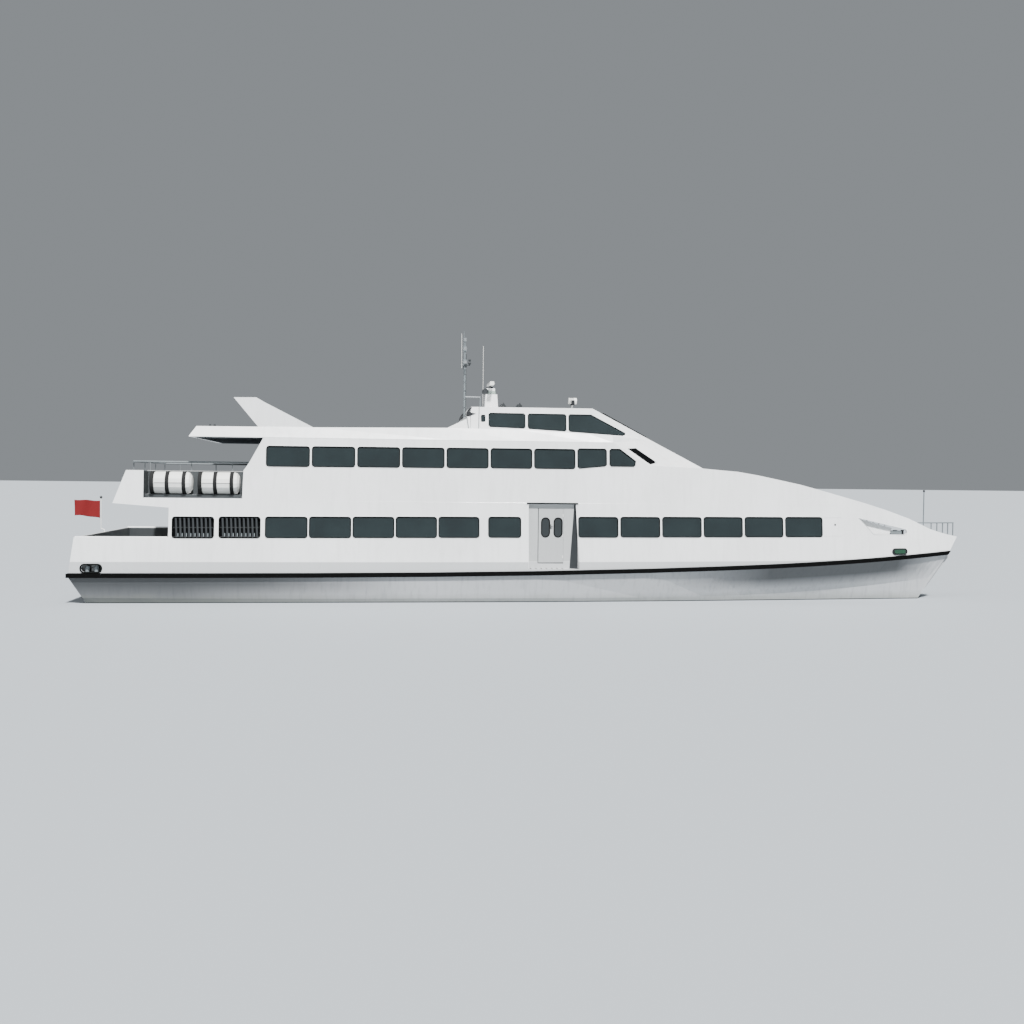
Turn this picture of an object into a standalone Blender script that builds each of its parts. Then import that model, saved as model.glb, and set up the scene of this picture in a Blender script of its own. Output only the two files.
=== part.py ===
"""Passenger ferry: a two-deck catamaran with a wheelhouse, built from separate pieces.

Metres. +X points to the bow, +Y to port, +Z up.
The origin is on the centreline, amidships, at the waterline.
"""
import bmesh
import bpy
from math import atan2, cos, pi, radians, sin, tan
from mathutils import Matrix, Vector

# ---------------------------------------------------------------- driving dimensions
STERN_X = -16.14            # after end of the hulls at deck level
STEM_X = 15.93              # stem at deck level
TIP_X = 16.28               # tip of each bow at the top of the bulwark
HALF_BEAM = 4.0             # side of the ship amidships
HULL_Y = 2.9                # centreline of each hull
TAPER_X = 8.0               # forward of this the sides draw in
STERN_DECK_Z = 1.05         # main deck edge at the stern
DECK_RISE = 0.79            # how much the deck edge climbs to the stem
KNUCKLE_Z = 1.43            # above this the sides lean inboard
LEAN = tan(radians(6.0))
WALL = 0.07                 # whole thickness of a side or bulkhead
GAP = 0.0003                # between pieces that touch
CLEAR = 0.005               # around pieces that move

SPLIT_Z = 3.54              # joint between the lower and the upper side panels
UPPER_DECK_Z = 3.58         # top of the upper deck
SIDE_TOP_Z = 5.73           # top of the upper side panels, under the roof
JOIN_X = 11.3               # side panels end, bow bulwarks begin
FRONT_X = 11.85             # front bulkhead
BOW_DECK_Z = 2.30
AFT_WALL_X = -12.9          # after end of the lower cabin
UPPER_AFT_WALL_X = -9.80    # after end of the upper cabin
BULWARK_Z = 2.26            # top of the after-deck bulwark
RAFT_BAY = (-13.76, -10.45)
UPPER_BULWARK_Z = 4.55

WHEELHOUSE_Y = 1.95         # half width of the wheelhouse at its base
WHEELHOUSE_LEAN = 0.12
SHAFT_SLOPE = radians(7.0)
PROPELLER = (-14.4, -1.28)  # X and Z of the propeller's centre
PROPELLER_R = 0.40
RUDDER_X = -15.15

# Stations along the ship, measured on the deck edge
STATIONS = (STERN_X, -14.0, -11.5, -8.0, -4.0, 0.0, 4.0, 6.5, TAPER_X,
            9.0, 10.2, JOIN_X, 12.3, 13.2, 14.1, 15.0, 15.3, 15.6, STEM_X)
# Top edge of the bow, from the foot of the front slope to the tip
CREST = ((3.96, 4.93), (5.95, 4.84), (7.24, 4.74), (8.0, 4.62), (9.65, 4.29), (10.8, 4.0),
         (12.34, 3.60), (13.71, 3.20), (14.28, 2.99), (15.06, 2.65), (15.67, 2.48), (TIP_X, 2.37))
# Top edge of the roof, from its after end to the front slope
ROOF_LINE = ((-12.05, 6.10), (-8.0, 6.12), (-3.3, 6.18), (-0.8, 6.16), (1.76, 6.04), (2.62, 5.98))


# ---------------------------------------------------------------- the ship's lines
def between(line, x):
    """Height of a broken line at x."""
    for (x0, z0), (x1, z1) in zip(line, line[1:]):
        if x <= x1:
            return z0 + (z1 - z0) * (x - x0) / (x1 - x0)
    return line[-1][1]


def along(x):
    return (x - STERN_X) / (STEM_X - STERN_X)


def climb(x):
    return max(0.0, along(x)) ** 3.2


def deck_edge(x):
    return STERN_DECK_Z + DECK_RISE * climb(x)


def knuckle(x):
    return max(KNUCKLE_Z + 0.16 * climb(x), deck_edge(x) + 0.03)


def draw_in(x):
    """0 amidships, 1 at the stem."""
    return max(0.0, (x - TAPER_X) / (STEM_X - TAPER_X)) ** 2


def outer_y(x):
    return HALF_BEAM - (HALF_BEAM - HULL_Y - 0.05) * draw_in(x)


def inner_y(x):
    """Tunnel side of a hull."""
    return HULL_Y - 1.15 + 1.10 * draw_in(x)


def side_y(x, z):
    """Outer face of the ship's side."""
    return outer_y(x) - max(0.0, z - knuckle(x)) * LEAN


def crest(x):
    return between(CREST, x)


def roof_top(x):
    return between(ROOF_LINE, x)


# ---------------------------------------------------------------- scene and materials
def clear_scene():
    for item in list(bpy.data.objects):
        bpy.data.objects.remove(item, do_unlink=True)


def make_collection(name):
    group = bpy.data.collections.new(name)
    bpy.context.scene.collection.children.link(group)
    return group


def finish(name, colour, roughness, metallic=0.0):
    material = bpy.data.materials.new(name)
    material.use_nodes = True
    surface = material.node_tree.nodes["Principled BSDF"]
    surface.inputs["Base Color"].default_value = (*colour, 1.0)
    surface.inputs["Roughness"].default_value = roughness
    surface.inputs["Metallic"].default_value = metallic
    return material


clear_scene()
FERRY = make_collection("passenger_ferry")
CUTTERS = make_collection("cutters")

WHITE = finish("white_enamel", (0.78, 0.78, 0.78), 0.35)
HULL_GREY = finish("hull_enamel", (0.62, 0.63, 0.64), 0.4)
RUBBER = finish("fender_rubber", (0.02, 0.02, 0.02), 0.8)
DECK = finish("deck_coating", (0.30, 0.31, 0.32), 0.9)
GLASS = finish("tinted_glass", (0.06, 0.09, 0.10), 0.08)
GRILLE = finish("grille_enamel", (0.10, 0.10, 0.10), 0.5)
STEEL = finish("stainless_steel", (0.60, 0.61, 0.62), 0.25, 1.0)
BRONZE = finish("bronze", (0.55, 0.36, 0.14), 0.35, 1.0)
ENGINE = finish("engine_enamel", (0.12, 0.22, 0.16), 0.5)
SEAT = finish("seat_fabric", (0.05, 0.10, 0.25), 0.9)
CANISTER = finish("canister_gelcoat", (0.80, 0.80, 0.78), 0.4)
FLAG = finish("flag_cloth", (0.60, 0.02, 0.03), 0.9)


# ---------------------------------------------------------------- shaping tools
def place(name, mesh, material=None):
    """Adds a mesh as a piece, or as a cutter where it has no material."""
    item = bpy.data.objects.new(name, mesh)
    if material:
        FERRY.objects.link(item)
        mesh.materials.clear()
        mesh.materials.append(material)
    else:
        CUTTERS.objects.link(item)
        item.hide_render = True
        item.display_type = "WIRE"
    return item


def weld(mesh):
    shape = bmesh.new()
    shape.from_mesh(mesh)
    bmesh.ops.remove_doubles(shape, verts=shape.verts, dist=1e-5)
    bmesh.ops.recalc_face_normals(shape, faces=shape.faces)
    shape.to_mesh(mesh)
    shape.free()


def settled(item):
    """Turns a curve, or a mesh with modifiers, into one plain mesh and removes the item."""
    bpy.context.view_layer.update()
    graph = bpy.context.evaluated_depsgraph_get()
    mesh = bpy.data.meshes.new_from_object(item.evaluated_get(graph))
    mesh.transform(item.matrix_world)
    bpy.data.objects.remove(item, do_unlink=True)
    weld(mesh)
    return mesh


PLANES = {
    "XZ": Matrix(((1, 0, 0, 0), (0, 0, -1, 0), (0, 1, 0, 0), (0, 0, 0, 1))),
    "YZ": Matrix(((0, 0, 1, 0), (1, 0, 0, 0), (0, 1, 0, 0), (0, 0, 0, 1))),
    "XY": Matrix.Identity(4),
}


def outline(name, loops, plane, low, high, material=None):
    """A flat outline with holes, drawn in a plane and thick from low to high across it."""
    curve = bpy.data.curves.new(name, "CURVE")
    curve.dimensions = "2D"
    curve.fill_mode = "BOTH"
    curve.extrude = (high - low) / 2
    for loop in loops:
        spline = curve.splines.new("POLY")
        spline.points.add(len(loop) - 1)
        for point, (u, v) in zip(spline.points, loop):
            point.co = (u, v, 0.0, 1.0)
        spline.use_cyclic_u = True
    item = bpy.data.objects.new(name, curve)
    CUTTERS.objects.link(item)
    middle = (low + high) / 2
    shift = {"XZ": (0, middle, 0), "YZ": (middle, 0, 0), "XY": (0, 0, middle)}[plane]
    item.matrix_world = Matrix.Translation(shift) @ PLANES[plane]
    mesh = settled(item)
    mesh.name = name
    return place(name, mesh, material)


def box(name, low, high, material=None):
    shape = bmesh.new()
    bmesh.ops.create_cube(shape, size=1.0)
    size = [b - a for a, b in zip(low, high)]
    centre = [(a + b) / 2 for a, b in zip(low, high)]
    bmesh.ops.transform(shape, matrix=Matrix.Translation(centre) @ Matrix.Diagonal((*size, 1)),
                        verts=shape.verts)
    mesh = bpy.data.meshes.new(name)
    shape.to_mesh(mesh)
    shape.free()
    return place(name, mesh, material)


def loft(name, rings, material=None):
    """A closed skin over rings with the same number of points, with flat ends."""
    shape = bmesh.new()
    rows = [[shape.verts.new(point) for point in ring] for ring in rings]
    count = len(rows[0])
    for row, after in zip(rows, rows[1:]):
        for i in range(count):
            j = (i + 1) % count
            shape.faces.new((row[i], row[j], after[j], after[i]))
    shape.faces.new(list(reversed(rows[0])))
    shape.faces.new(rows[-1])
    bmesh.ops.recalc_face_normals(shape, faces=shape.faces)
    mesh = bpy.data.meshes.new(name)
    shape.to_mesh(mesh)
    shape.free()
    return place(name, mesh, material)


def sheet_down(name, points, faces, drop, material):
    """A panel: an open surface, made as thick as drop straight down."""
    shape = bmesh.new()
    corners = [shape.verts.new(point) for point in points]
    for face in faces:
        shape.faces.new([corners[i] for i in face])
    made = bmesh.ops.extrude_face_region(shape, geom=list(shape.faces))
    lower = [item for item in made["geom"] if isinstance(item, bmesh.types.BMVert)]
    bmesh.ops.translate(shape, verts=lower, vec=(0, 0, -drop))
    bmesh.ops.recalc_face_normals(shape, faces=shape.faces)
    mesh = bpy.data.meshes.new(name)
    shape.to_mesh(mesh)
    shape.free()
    return place(name, mesh, material)


def turned(name, profile, centre, axis, sides, material=None):
    """A shape turned about an axis; the profile gives radius and distance, top to bottom."""
    mesh = bpy.data.meshes.new(name)
    mesh.from_pydata([(r, 0.0, z) for r, z in profile], [(i, i + 1) for i in range(len(profile) - 1)], [])
    item = bpy.data.objects.new(name, mesh)
    CUTTERS.objects.link(item)
    screw = item.modifiers.new("turn", "SCREW")
    screw.steps = sides
    screw.render_steps = sides
    screw.use_merge_vertices = True
    screw.merge_threshold = 0.00005
    item.matrix_world = Matrix.Translation(centre) @ Vector(axis).to_track_quat("Z", "Y").to_matrix().to_4x4()
    return place(name, settled(item), material)


def rod(name, start, end, radius, sides=10, material=None):
    start = Vector(start)
    run = Vector(end) - start
    length = run.length
    return turned(name, [(0, length), (radius, length), (radius, 0), (0, 0)], start, run, sides, material)


def tube(name, route, radius, material=None):
    curve = bpy.data.curves.new(name, "CURVE")
    curve.dimensions = "3D"
    curve.bevel_depth = radius
    curve.bevel_resolution = 1
    curve.use_fill_caps = True
    spline = curve.splines.new("POLY")
    spline.points.add(len(route) - 1)
    for point, place_at in zip(spline.points, route):
        point.co = (*place_at, 1.0)
    item = bpy.data.objects.new(name, curve)
    CUTTERS.objects.link(item)
    return place(name, settled(item), material)


def combine(item, tool, operation):
    step = item.modifiers.new(operation.lower(), "BOOLEAN")
    step.operation = operation
    step.object = tool
    step.solver = "EXACT"


def cut(item, *tools):
    for tool in tools:
        combine(item, tool, "DIFFERENCE")


def join(item, *tools):
    for tool in tools:
        combine(item, tool, "UNION")


def set_origin(item, centre):
    """Moves a piece's origin onto its joint, leaving its shape where it is."""
    item.data.transform(Matrix.Translation(-Vector(centre)))
    item.location = centre


def rounded(x0, x1, z0, z1, radius=0.09, steps=2):
    """Corners of a window or hatch, with round corners."""
    points = []
    for cx, cz, start in ((x1 - radius, z1 - radius, 0), (x0 + radius, z1 - radius, 90),
                          (x0 + radius, z0 + radius, 180), (x1 - radius, z0 + radius, 270)):
        for i in range(steps + 1):
            angle = radians(start + 90 * i / steps)
            points.append((cx + radius * cos(angle), cz + radius * sin(angle)))
    return points


SIDES = (("starboard", -1), ("port", 1))


# ---------------------------------------------------------------- hulls
def hull_ring(x, hand):
    """One section of a hull. Lower points end sooner at both ends, so stem and stern rake."""
    t = along(x)
    aft = max(0.0, (0.26 - t) / 0.26) ** 1.5
    fore = max(0.0, (t - 0.6) / 0.4) ** 2.5
    top = deck_edge(x)

    def lower(half_width, full, power, z, z_aft, z_fore, x_aft, x_fore):
        width = 0.03 + (half_width - 0.03) * (1 - max(0.0, (t - full) / (1 - full)) ** power)
        height = z + (z_aft - z) * aft + (z_fore - z) * fore
        return x_aft + t * (x_fore - x_aft), width, height

    chine = lower(0.98, 0.45, 1.7, 0.15, 0.20, 0.80, -15.72, 15.08)
    bilge = lower(0.62, 0.40, 1.5, -0.75, -0.42, -0.05, -15.45, 14.62)
    keel = lower(0.12, 0.50, 1.5, -1.30, -0.55, -0.90, -15.40, 13.60)
    strip_x = STERN_X + t * (15.82 - STERN_X)
    wet_z = 0.70 + 0.88 * max(0.0, (t - 0.75) / 0.25) ** 1.5
    points = [(x, outer_y(x), top), (strip_x, outer_y(x), top - 0.17)]
    points += [(px, HULL_Y + w, z) for px, w, z in (chine, bilge, keel)]
    points += [(px, HULL_Y - w, z) for px, w, z in (keel, bilge, chine)]
    points += [(x, inner_y(x), wet_z), (x, inner_y(x), top)]
    return [(px, hand * y, z) for px, y, z in points]


def shaft_point(distance):
    """A point on a propeller shaft, measured forward from the propeller's centre."""
    return PROPELLER[0] + distance * cos(SHAFT_SLOPE), PROPELLER[1] + distance * sin(SHAFT_SLOPE)


def make_hull(side, hand):
    y = hand * HULL_Y
    hull = loft("hull_" + side, [hull_ring(x, hand) for x in STATIONS], HULL_GREY)

    def on_shaft(distance):
        x, z = shaft_point(distance)
        return x, y, z

    strut = outline("strut_" + side, [[(-14.02, -0.60), (-13.72, -0.60), (-13.80, -1.2), (-13.98, -1.22)]],
                    "XZ", y - 0.025, y + 0.025)
    join(hull, strut)
    join(hull, rod("strut_barrel_" + side, on_shaft(0.38), on_shaft(0.72), 0.085, 12))
    join(hull, outline("skeg_" + side, [[(-11.0, -1.0), (-6.5, -1.25), (-6.9, -1.48), (-10.2, -1.42)]],
                       "XZ", y - 0.05, y + 0.05))
    for x in (-15.2, -15.55):
        join(hull, rod("bitt_%s_%d" % (side, round(-x * 100)), (x, hand * 3.62, 1.0), (x, hand * 3.62, 1.36),
                       0.07, 10))
    cut(hull, rod("shaft_bore_" + side, on_shaft(0.2), on_shaft(3.0), 0.055, 12))
    cut(hull, rod("rudder_bore_" + side, (RUDDER_X, y, -0.9), (RUDDER_X, y, -0.25), 0.055, 12))
    cut(hull, box("engine_well_" + side, (-11.85, y - 0.62, -0.45), (-9.05, y + 0.62, 1.6)))


def make_fender():
    """Rubber strip along both deck edges and round the stern."""
    def ring(x, hand):
        points = hull_ring(x, hand)
        (tx, ty, tz), (bx, by, bz) = points[0], points[1]
        close, out = hand * (0.001 + 0.02 * draw_in(x)), hand * 0.075
        return [(tx, ty + close, tz - 0.004), (tx, ty + out, tz - 0.02),
                (bx, by + out, bz + 0.01), (bx, by + close, bz + 0.02)]

    def corner(hand):
        z0, z1 = STERN_DECK_Z, STERN_DECK_Z - 0.17
        near, far = 0.001, 0.075
        return [(STERN_X - near, hand * (HALF_BEAM + near), z0 - 0.004),
                (STERN_X - far, hand * (HALF_BEAM + far), z0 - 0.02),
                (STERN_X - far, hand * (HALF_BEAM + far), z1 + 0.01),
                (STERN_X - near, hand * (HALF_BEAM + near), z1 + 0.02)]

    rings = [ring(x, -1) for x in reversed(STATIONS[1:])] + [corner(-1), corner(1)]
    rings += [ring(x, 1) for x in STATIONS[1:]]
    loft("fender", rings, RUBBER)


def make_bridge_deck():
    """The deck that joins the hulls, with a raised step forward of the cabin."""
    end_x, step_x = 12.75, JOIN_X + 0.02
    high = BOW_DECK_Z - 0.02
    under = [(x, 0.72 + 0.95 * max(0.0, (x - 7.0) / (end_x - 7.0)) ** 1.6)
             for x in (-16.0, 7.0, 8.5, 10.0, 11.4, end_x)]
    profile = under + [(end_x, 2.12), (12.3, high), (step_x, high), (step_x, 1.52), (7.5, 1.48),
                       (6.5, STERN_DECK_Z), (-16.0, STERN_DECK_Z)]
    deck = outline("bridge_deck", [profile], "XZ", -3.0, 3.0, DECK)
    edge = [(x, inner_y(x) - GAP) for x in (-16.0, *STATIONS[1:STATIONS.index(12.3) + 1], 13.2)]
    plan = [(x, -y) for x, y in edge] + [(x, y) for x, y in reversed(edge)]
    combine(deck, outline("bridge_plan", [plan], "XY", 0.0, 3.0), "INTERSECT")


def make_running_gear(side, hand):
    y = hand * HULL_Y
    x0, z0 = shaft_point(-0.22)
    x1, z1 = shaft_point(2.8)
    screw = rod("propeller_" + side, (x0, y, z0), (x1, y, z1), 0.045, 12, BRONZE)
    axis = Vector((cos(SHAFT_SLOPE), 0, sin(SHAFT_SLOPE)))
    hub = turned("hub_" + side, [(0, 0.14), (0.085, 0.14), (0.10, 0.0), (0.07, -0.20), (0, -0.26)],
                 (PROPELLER[0], y, PROPELLER[1]), axis, 12)
    join(screw, hub)
    turn = axis.to_track_quat("Z", "Y").to_matrix().to_4x4()
    for k in range(4):
        rings = []
        for r, chord, pitch in ((0.07, 0.15, 55), (0.22, 0.26, 38), (0.34, 0.24, 28), (PROPELLER_R, 0.10, 24)):
            a, c, half = radians(pitch) * hand, chord / 2, 0.014 * (1.2 - r)
            rings.append([Vector((r, -c * cos(a) - half * sin(a), -c * sin(a) + half * cos(a))),
                          Vector((r, c * cos(a) - half * sin(a), c * sin(a) + half * cos(a))),
                          Vector((r, c * cos(a) + half * sin(a), c * sin(a) - half * cos(a))),
                          Vector((r, -c * cos(a) + half * sin(a), -c * sin(a) - half * cos(a)))])
        blade = loft("blade_%s_%d" % (side, k), rings)
        blade.data.transform(Matrix.Translation((PROPELLER[0], y, PROPELLER[1])) @ turn
                             @ Matrix.Rotation(pi / 2 * k + pi / 4, 4, "Z"))
        join(screw, blade)
    set_origin(screw, (PROPELLER[0], y, PROPELLER[1]))

    rings = []
    for z, fore, aft in ((-1.62, 0.20, -0.26), (-0.74, 0.28, -0.34)):
        rings.append([(RUDDER_X + fore, y, z), (RUDDER_X + 0.08, y + 0.035, z), (RUDDER_X + aft, y + 0.006, z),
                      (RUDDER_X + aft, y - 0.006, z), (RUDDER_X + 0.08, y - 0.035, z)])
    rudder = loft("rudder_" + side, rings, STEEL)
    join(rudder, rod("stock_" + side, (RUDDER_X, y, -0.85), (RUDDER_X, y, -0.30), 0.03, 10))
    set_origin(rudder, (RUDDER_X, y, -1.2))

    box("engine_" + side, (-11.6, y - 0.48, -0.4497), (-9.3, y + 0.48, 0.72), ENGINE)


# ---------------------------------------------------------------- sides
LOWER_WINDOW_Z = 0.74
UPPER_WINDOW_Z = 0.72


def window_row(first, width, pitch, count, bottom, slope, height):
    loops = []
    for k in range(count):
        x = first + k * pitch
        low = bottom + slope * x
        loops.append(rounded(x, x + width, low, low + height))
    return loops


def lower_windows():
    """Two air intakes aft, five windows, one short one, the door, and six windows forward."""
    bottom, slope = 2.31, 0.006
    loops = window_row(-12.78, 1.40, 1.56, 2, bottom, slope, LOWER_WINDOW_Z)
    loops += window_row(-9.66, 1.44, 1.495, 5, bottom, slope, LOWER_WINDOW_Z)
    loops += window_row(-1.92, 1.17, 1.5, 1, bottom, slope, LOWER_WINDOW_Z)
    loops += window_row(1.31, 1.46, 1.54, 6, bottom, slope, LOWER_WINDOW_Z)
    return loops


def upper_windows():
    loops = window_row(-9.66, 1.49, 1.565, 7, 4.76, 0.004, UPPER_WINDOW_Z)
    loops.append([(1.30, 4.85), (1.37, 4.78), (2.30, 4.87), (2.37, 4.93), (2.37, 5.44), (2.31, 5.51),
                  (1.37, 5.51), (1.30, 5.44)])
    loops.append([(2.47, 4.94), (2.53, 4.87), (3.36, 4.87), (3.42, 4.93), (3.44, 5.08), (2.86, 5.51),
                  (2.53, 5.51), (2.47, 5.44)])
    return loops


DOOR_X = (-0.12, 0.81)
DOOR_Z = (1.39, 3.36)
DOOR_Y = 3.70               # outer face of the side door and of its frame
RECESS_X = (-0.48, 1.25)
RECESS_Z = (1.20, 3.50)


def make_lower_side(side, hand):
    """Side panel from the deck edge to the upper deck, with the door set in a recess."""
    rings = []
    for x in STATIONS[:STATIONS.index(JOIN_X) + 1]:
        levels = (deck_edge(x) + GAP, knuckle(x), SPLIT_Z)
        outer = [(x, hand * side_y(x, z), z) for z in levels]
        inner = [(x, hand * (side_y(x, z) - WALL), z) for z in reversed(levels)]
        rings.append(outer + inner)
    panel = loft("lower_side_" + side, rings, WHITE)
    profile = [(-16.2, 0.9), (-16.14, 1.05), (-15.99, BULWARK_Z), (AFT_WALL_X, BULWARK_Z),
               (AFT_WALL_X, 3.7), (11.5, 3.7), (11.5, 0.9)]
    fairlead = rounded(-15.74, -15.08, 1.09, 1.33, 0.11)
    low, high = sorted((hand * 3.2, hand * 4.4))
    combine(panel, outline("lower_keep_" + side, [profile], "XZ", low, high), "INTERSECT")
    cut(panel, outline("lower_windows_" + side, [fairlead] + lower_windows(), "XZ", low, high))

    x0, x1 = RECESS_X[0] - 0.07, RECESS_X[1] + 0.03
    z0, z1 = RECESS_Z[0] - 0.025, SPLIT_Z
    deep = DOOR_Y - 0.05
    frame = [(hand * deep, z0), (hand * (side_y(0, z0) - 0.03), z0), (hand * (side_y(0, KNUCKLE_Z) - 0.03), KNUCKLE_Z),
             (hand * (side_y(0, z1) - 0.03), z1), (hand * deep, z1)]
    join(panel, outline("door_frame_" + side, [frame], "YZ", x0, x1))
    reach = hand * (HALF_BEAM + 0.2)
    recess = loft("door_recess_" + side, [
        [(RECESS_X[0], hand * DOOR_Y, z), (RECESS_X[0], reach, z), (RECESS_X[1] + 0.2, reach, z),
         (RECESS_X[1] - 0.06, hand * DOOR_Y, z)] for z in RECESS_Z])
    cut(panel, recess)
    low, high = sorted((hand * (deep - 0.1), reach))
    cut(panel, box("doorway_" + side, (DOOR_X[0], low, DOOR_Z[0]), (DOOR_X[1], high, DOOR_Z[1])))


def make_side_door(side, hand):
    """Boarding door, hinged at its forward edge, opening outwards."""
    loops = [[(DOOR_X[0] + 2 * CLEAR, DOOR_Z[0] + CLEAR), (DOOR_X[1] - CLEAR, DOOR_Z[0] + CLEAR),
              (DOOR_X[1] - CLEAR, DOOR_Z[1] - CLEAR), (DOOR_X[0] + 2 * CLEAR, DOOR_Z[1] - CLEAR)]]
    loops += [rounded(x, x + 0.31, 2.32, 3.02, 0.15, 4) for x in (0.0, 0.455)]
    low, high = sorted((hand * (DOOR_Y - 0.045), hand * DOOR_Y))
    door = outline("side_door_" + side, loops, "XZ", low, high, WHITE)
    set_origin(door, (DOOR_X[1] - CLEAR, hand * DOOR_Y, DOOR_Z[0]))


def make_upper_side(side, hand):
    """Side panel of the upper deck: cabin side, raft bay and after bulwark in one."""
    rings = []
    for x in (-14.9, *STATIONS[2:STATIONS.index(JOIN_X) + 1]):
        outer = [(x, hand * side_y(x, z), z) for z in (3.2, 6.0)]
        inner = [(x, hand * (side_y(x, z) - WALL), z) for z in (6.0, 3.2)]
        rings.append(outer + inner)
    panel = loft("upper_side_" + side, rings, WHITE)
    profile = [(-14.76, 3.42), (AFT_WALL_X - GAP, 3.28), (AFT_WALL_X - GAP, SPLIT_Z + GAP), (11.5, SPLIT_Z + GAP),
               (11.5, crest(11.5))]
    profile += [point for point in reversed(CREST) if point[0] < 11.5]
    profile += [(2.62, SIDE_TOP_Z), (-9.76, SIDE_TOP_Z), (-10.24, 4.84), (-10.42, 4.57), (RAFT_BAY[1], 3.60),
                (RAFT_BAY[0], 3.60), (RAFT_BAY[0], UPPER_BULWARK_Z), (-14.34, UPPER_BULWARK_Z)]
    low, high = sorted((hand * 3.0, hand * 4.2))
    combine(panel, outline("upper_keep_" + side, [profile], "XZ", low, high), "INTERSECT")
    cut(panel, outline("upper_windows_" + side, upper_windows(), "XZ", low, high))
    join(panel, raft_bay(side, hand))


def make_side_strip(name, hand, edges, thick, material, spare=0.003):
    """A plate lying against the inside of the ship's side; edges give X, bottom and top."""
    rings = []
    for x, z0, z1 in edges:
        out = WALL + spare
        rings.append([(x, hand * (side_y(x, z) - d), z)
                      for z, d in ((z0, out), (z1, out), (z1, out + thick), (z0, out + thick))])
    loft(name, rings, material)


def make_bow_bulwark(side, hand):
    """The side carried forward to the tip of the bow, with a mooring opening."""
    rings = []
    for x in STATIONS[STATIONS.index(JOIN_X):]:
        start = x + GAP if x == JOIN_X else x
        rake = (TIP_X - STEM_X) * max(0.0, (x - 15.0) / (STEM_X - 15.0))
        top_x = start + rake
        top = crest(top_x)
        low = deck_edge(x) + GAP
        middle = knuckle(x)
        mid_x = start + rake * (middle - low) / (top - low)
        outer = [(start, outer_y(x), low), (mid_x, side_y(mid_x, middle), middle), (top_x, side_y(top_x, top), top)]
        if x < 15.5:
            inner = [(px, y - WALL, z) for px, y, z in reversed(outer)]
        else:
            inner = [(px, min(y - 0.03, inner_y(px)), z) for px, y, z in reversed(outer)]
        rings.append([(px, hand * y, z) for px, y, z in outer + inner])
    bulwark = loft("bow_bulwark_" + side, rings, WHITE)
    opening = [(11.97, 3.07), (12.57, 2.47), (13.88, 2.45), (13.98, 2.50), (14.0, 2.58), (13.93, 2.66)]
    low, high = sorted((hand * 3.0, hand * 4.1))
    cut(bulwark, outline("mooring_opening_" + side, [opening], "XZ", low, high))

    def on_wall(x, height):
        return x, hand * (side_y(x, crest(x)) - 0.035), height
    join(bulwark, tube("bow_rail_" + side, [on_wall(x, 2.90) for x in (14.42, 15.06, 15.6, 16.12)], 0.016))
    for k, x in enumerate((15.1, 15.36, 15.62, 15.86, 16.1)):
        join(bulwark, rod("bow_post_%s_%d" % (side, k), on_wall(x, crest(x) - 0.05), on_wall(x, 2.90), 0.013, 8))
    top = 4.10 if hand < 0 else 2.91
    join(bulwark, rod("jackstaff_" + side, on_wall(14.75, crest(14.75) - 0.05), on_wall(14.75, top), 0.02, 8))


def make_bow_deck(side, hand):
    """Deck block behind the bow bulwark, with its mooring bitts."""
    rings = []
    for x in (JOIN_X, 12.3, 13.2, 14.1, 15.0, 15.28):
        start = x + 0.022 if x == JOIN_X else x
        low = deck_edge(x) + 0.003
        y0 = inner_y(start) + 0.001
        out_low, out_high = side_y(x, low) - WALL - 0.004, side_y(x, BOW_DECK_Z) - WALL - 0.004
        rings.append([(start, hand * y0, low), (start, hand * out_low, low),
                      (start, hand * out_high, BOW_DECK_Z), (start, hand * y0, BOW_DECK_Z)])
    deck = loft("bow_deck_" + side, rings, DECK)
    for x in (13.5, 13.8):
        join(deck, rod("bow_bitt_%s_%d" % (side, round(x * 10)), (x, hand * 2.75, 2.2), (x, hand * 2.75, 2.56),
                       0.06, 10))


# ---------------------------------------------------------------- decks, bulkheads and roof
def cross_outline(x, low, high, spare=GAP):
    """Outline across the ship between the inner faces of the sides."""
    levels = [low] + ([knuckle(x)] if low < knuckle(x) < high else []) + [high]
    right = [(side_y(x, z) - WALL - spare, z) for z in levels]
    left = [(-y, z) for y, z in reversed(right)]
    return right + left


def make_aft_bulwark():
    """Bulwark across the stern, leaning aft with the ends of the sides."""
    foot = STERN_DECK_Z + 0.002
    rings = []
    for x, z in ((-16.11, foot), (-16.055, KNUCKLE_Z), (-15.965, BULWARK_Z)):
        y = side_y(-15.0, z) - WALL - GAP
        rings.append([(x, -y, z), (x + 0.07, -y, z), (x + 0.07, y, z), (x, y, z)])
    loft("aft_bulwark", rings, WHITE)


def doorway(y0, y1, z0, z1):
    return [(y0, z0), (y1, z0), (y1, z1), (y0, z1)]


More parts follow.
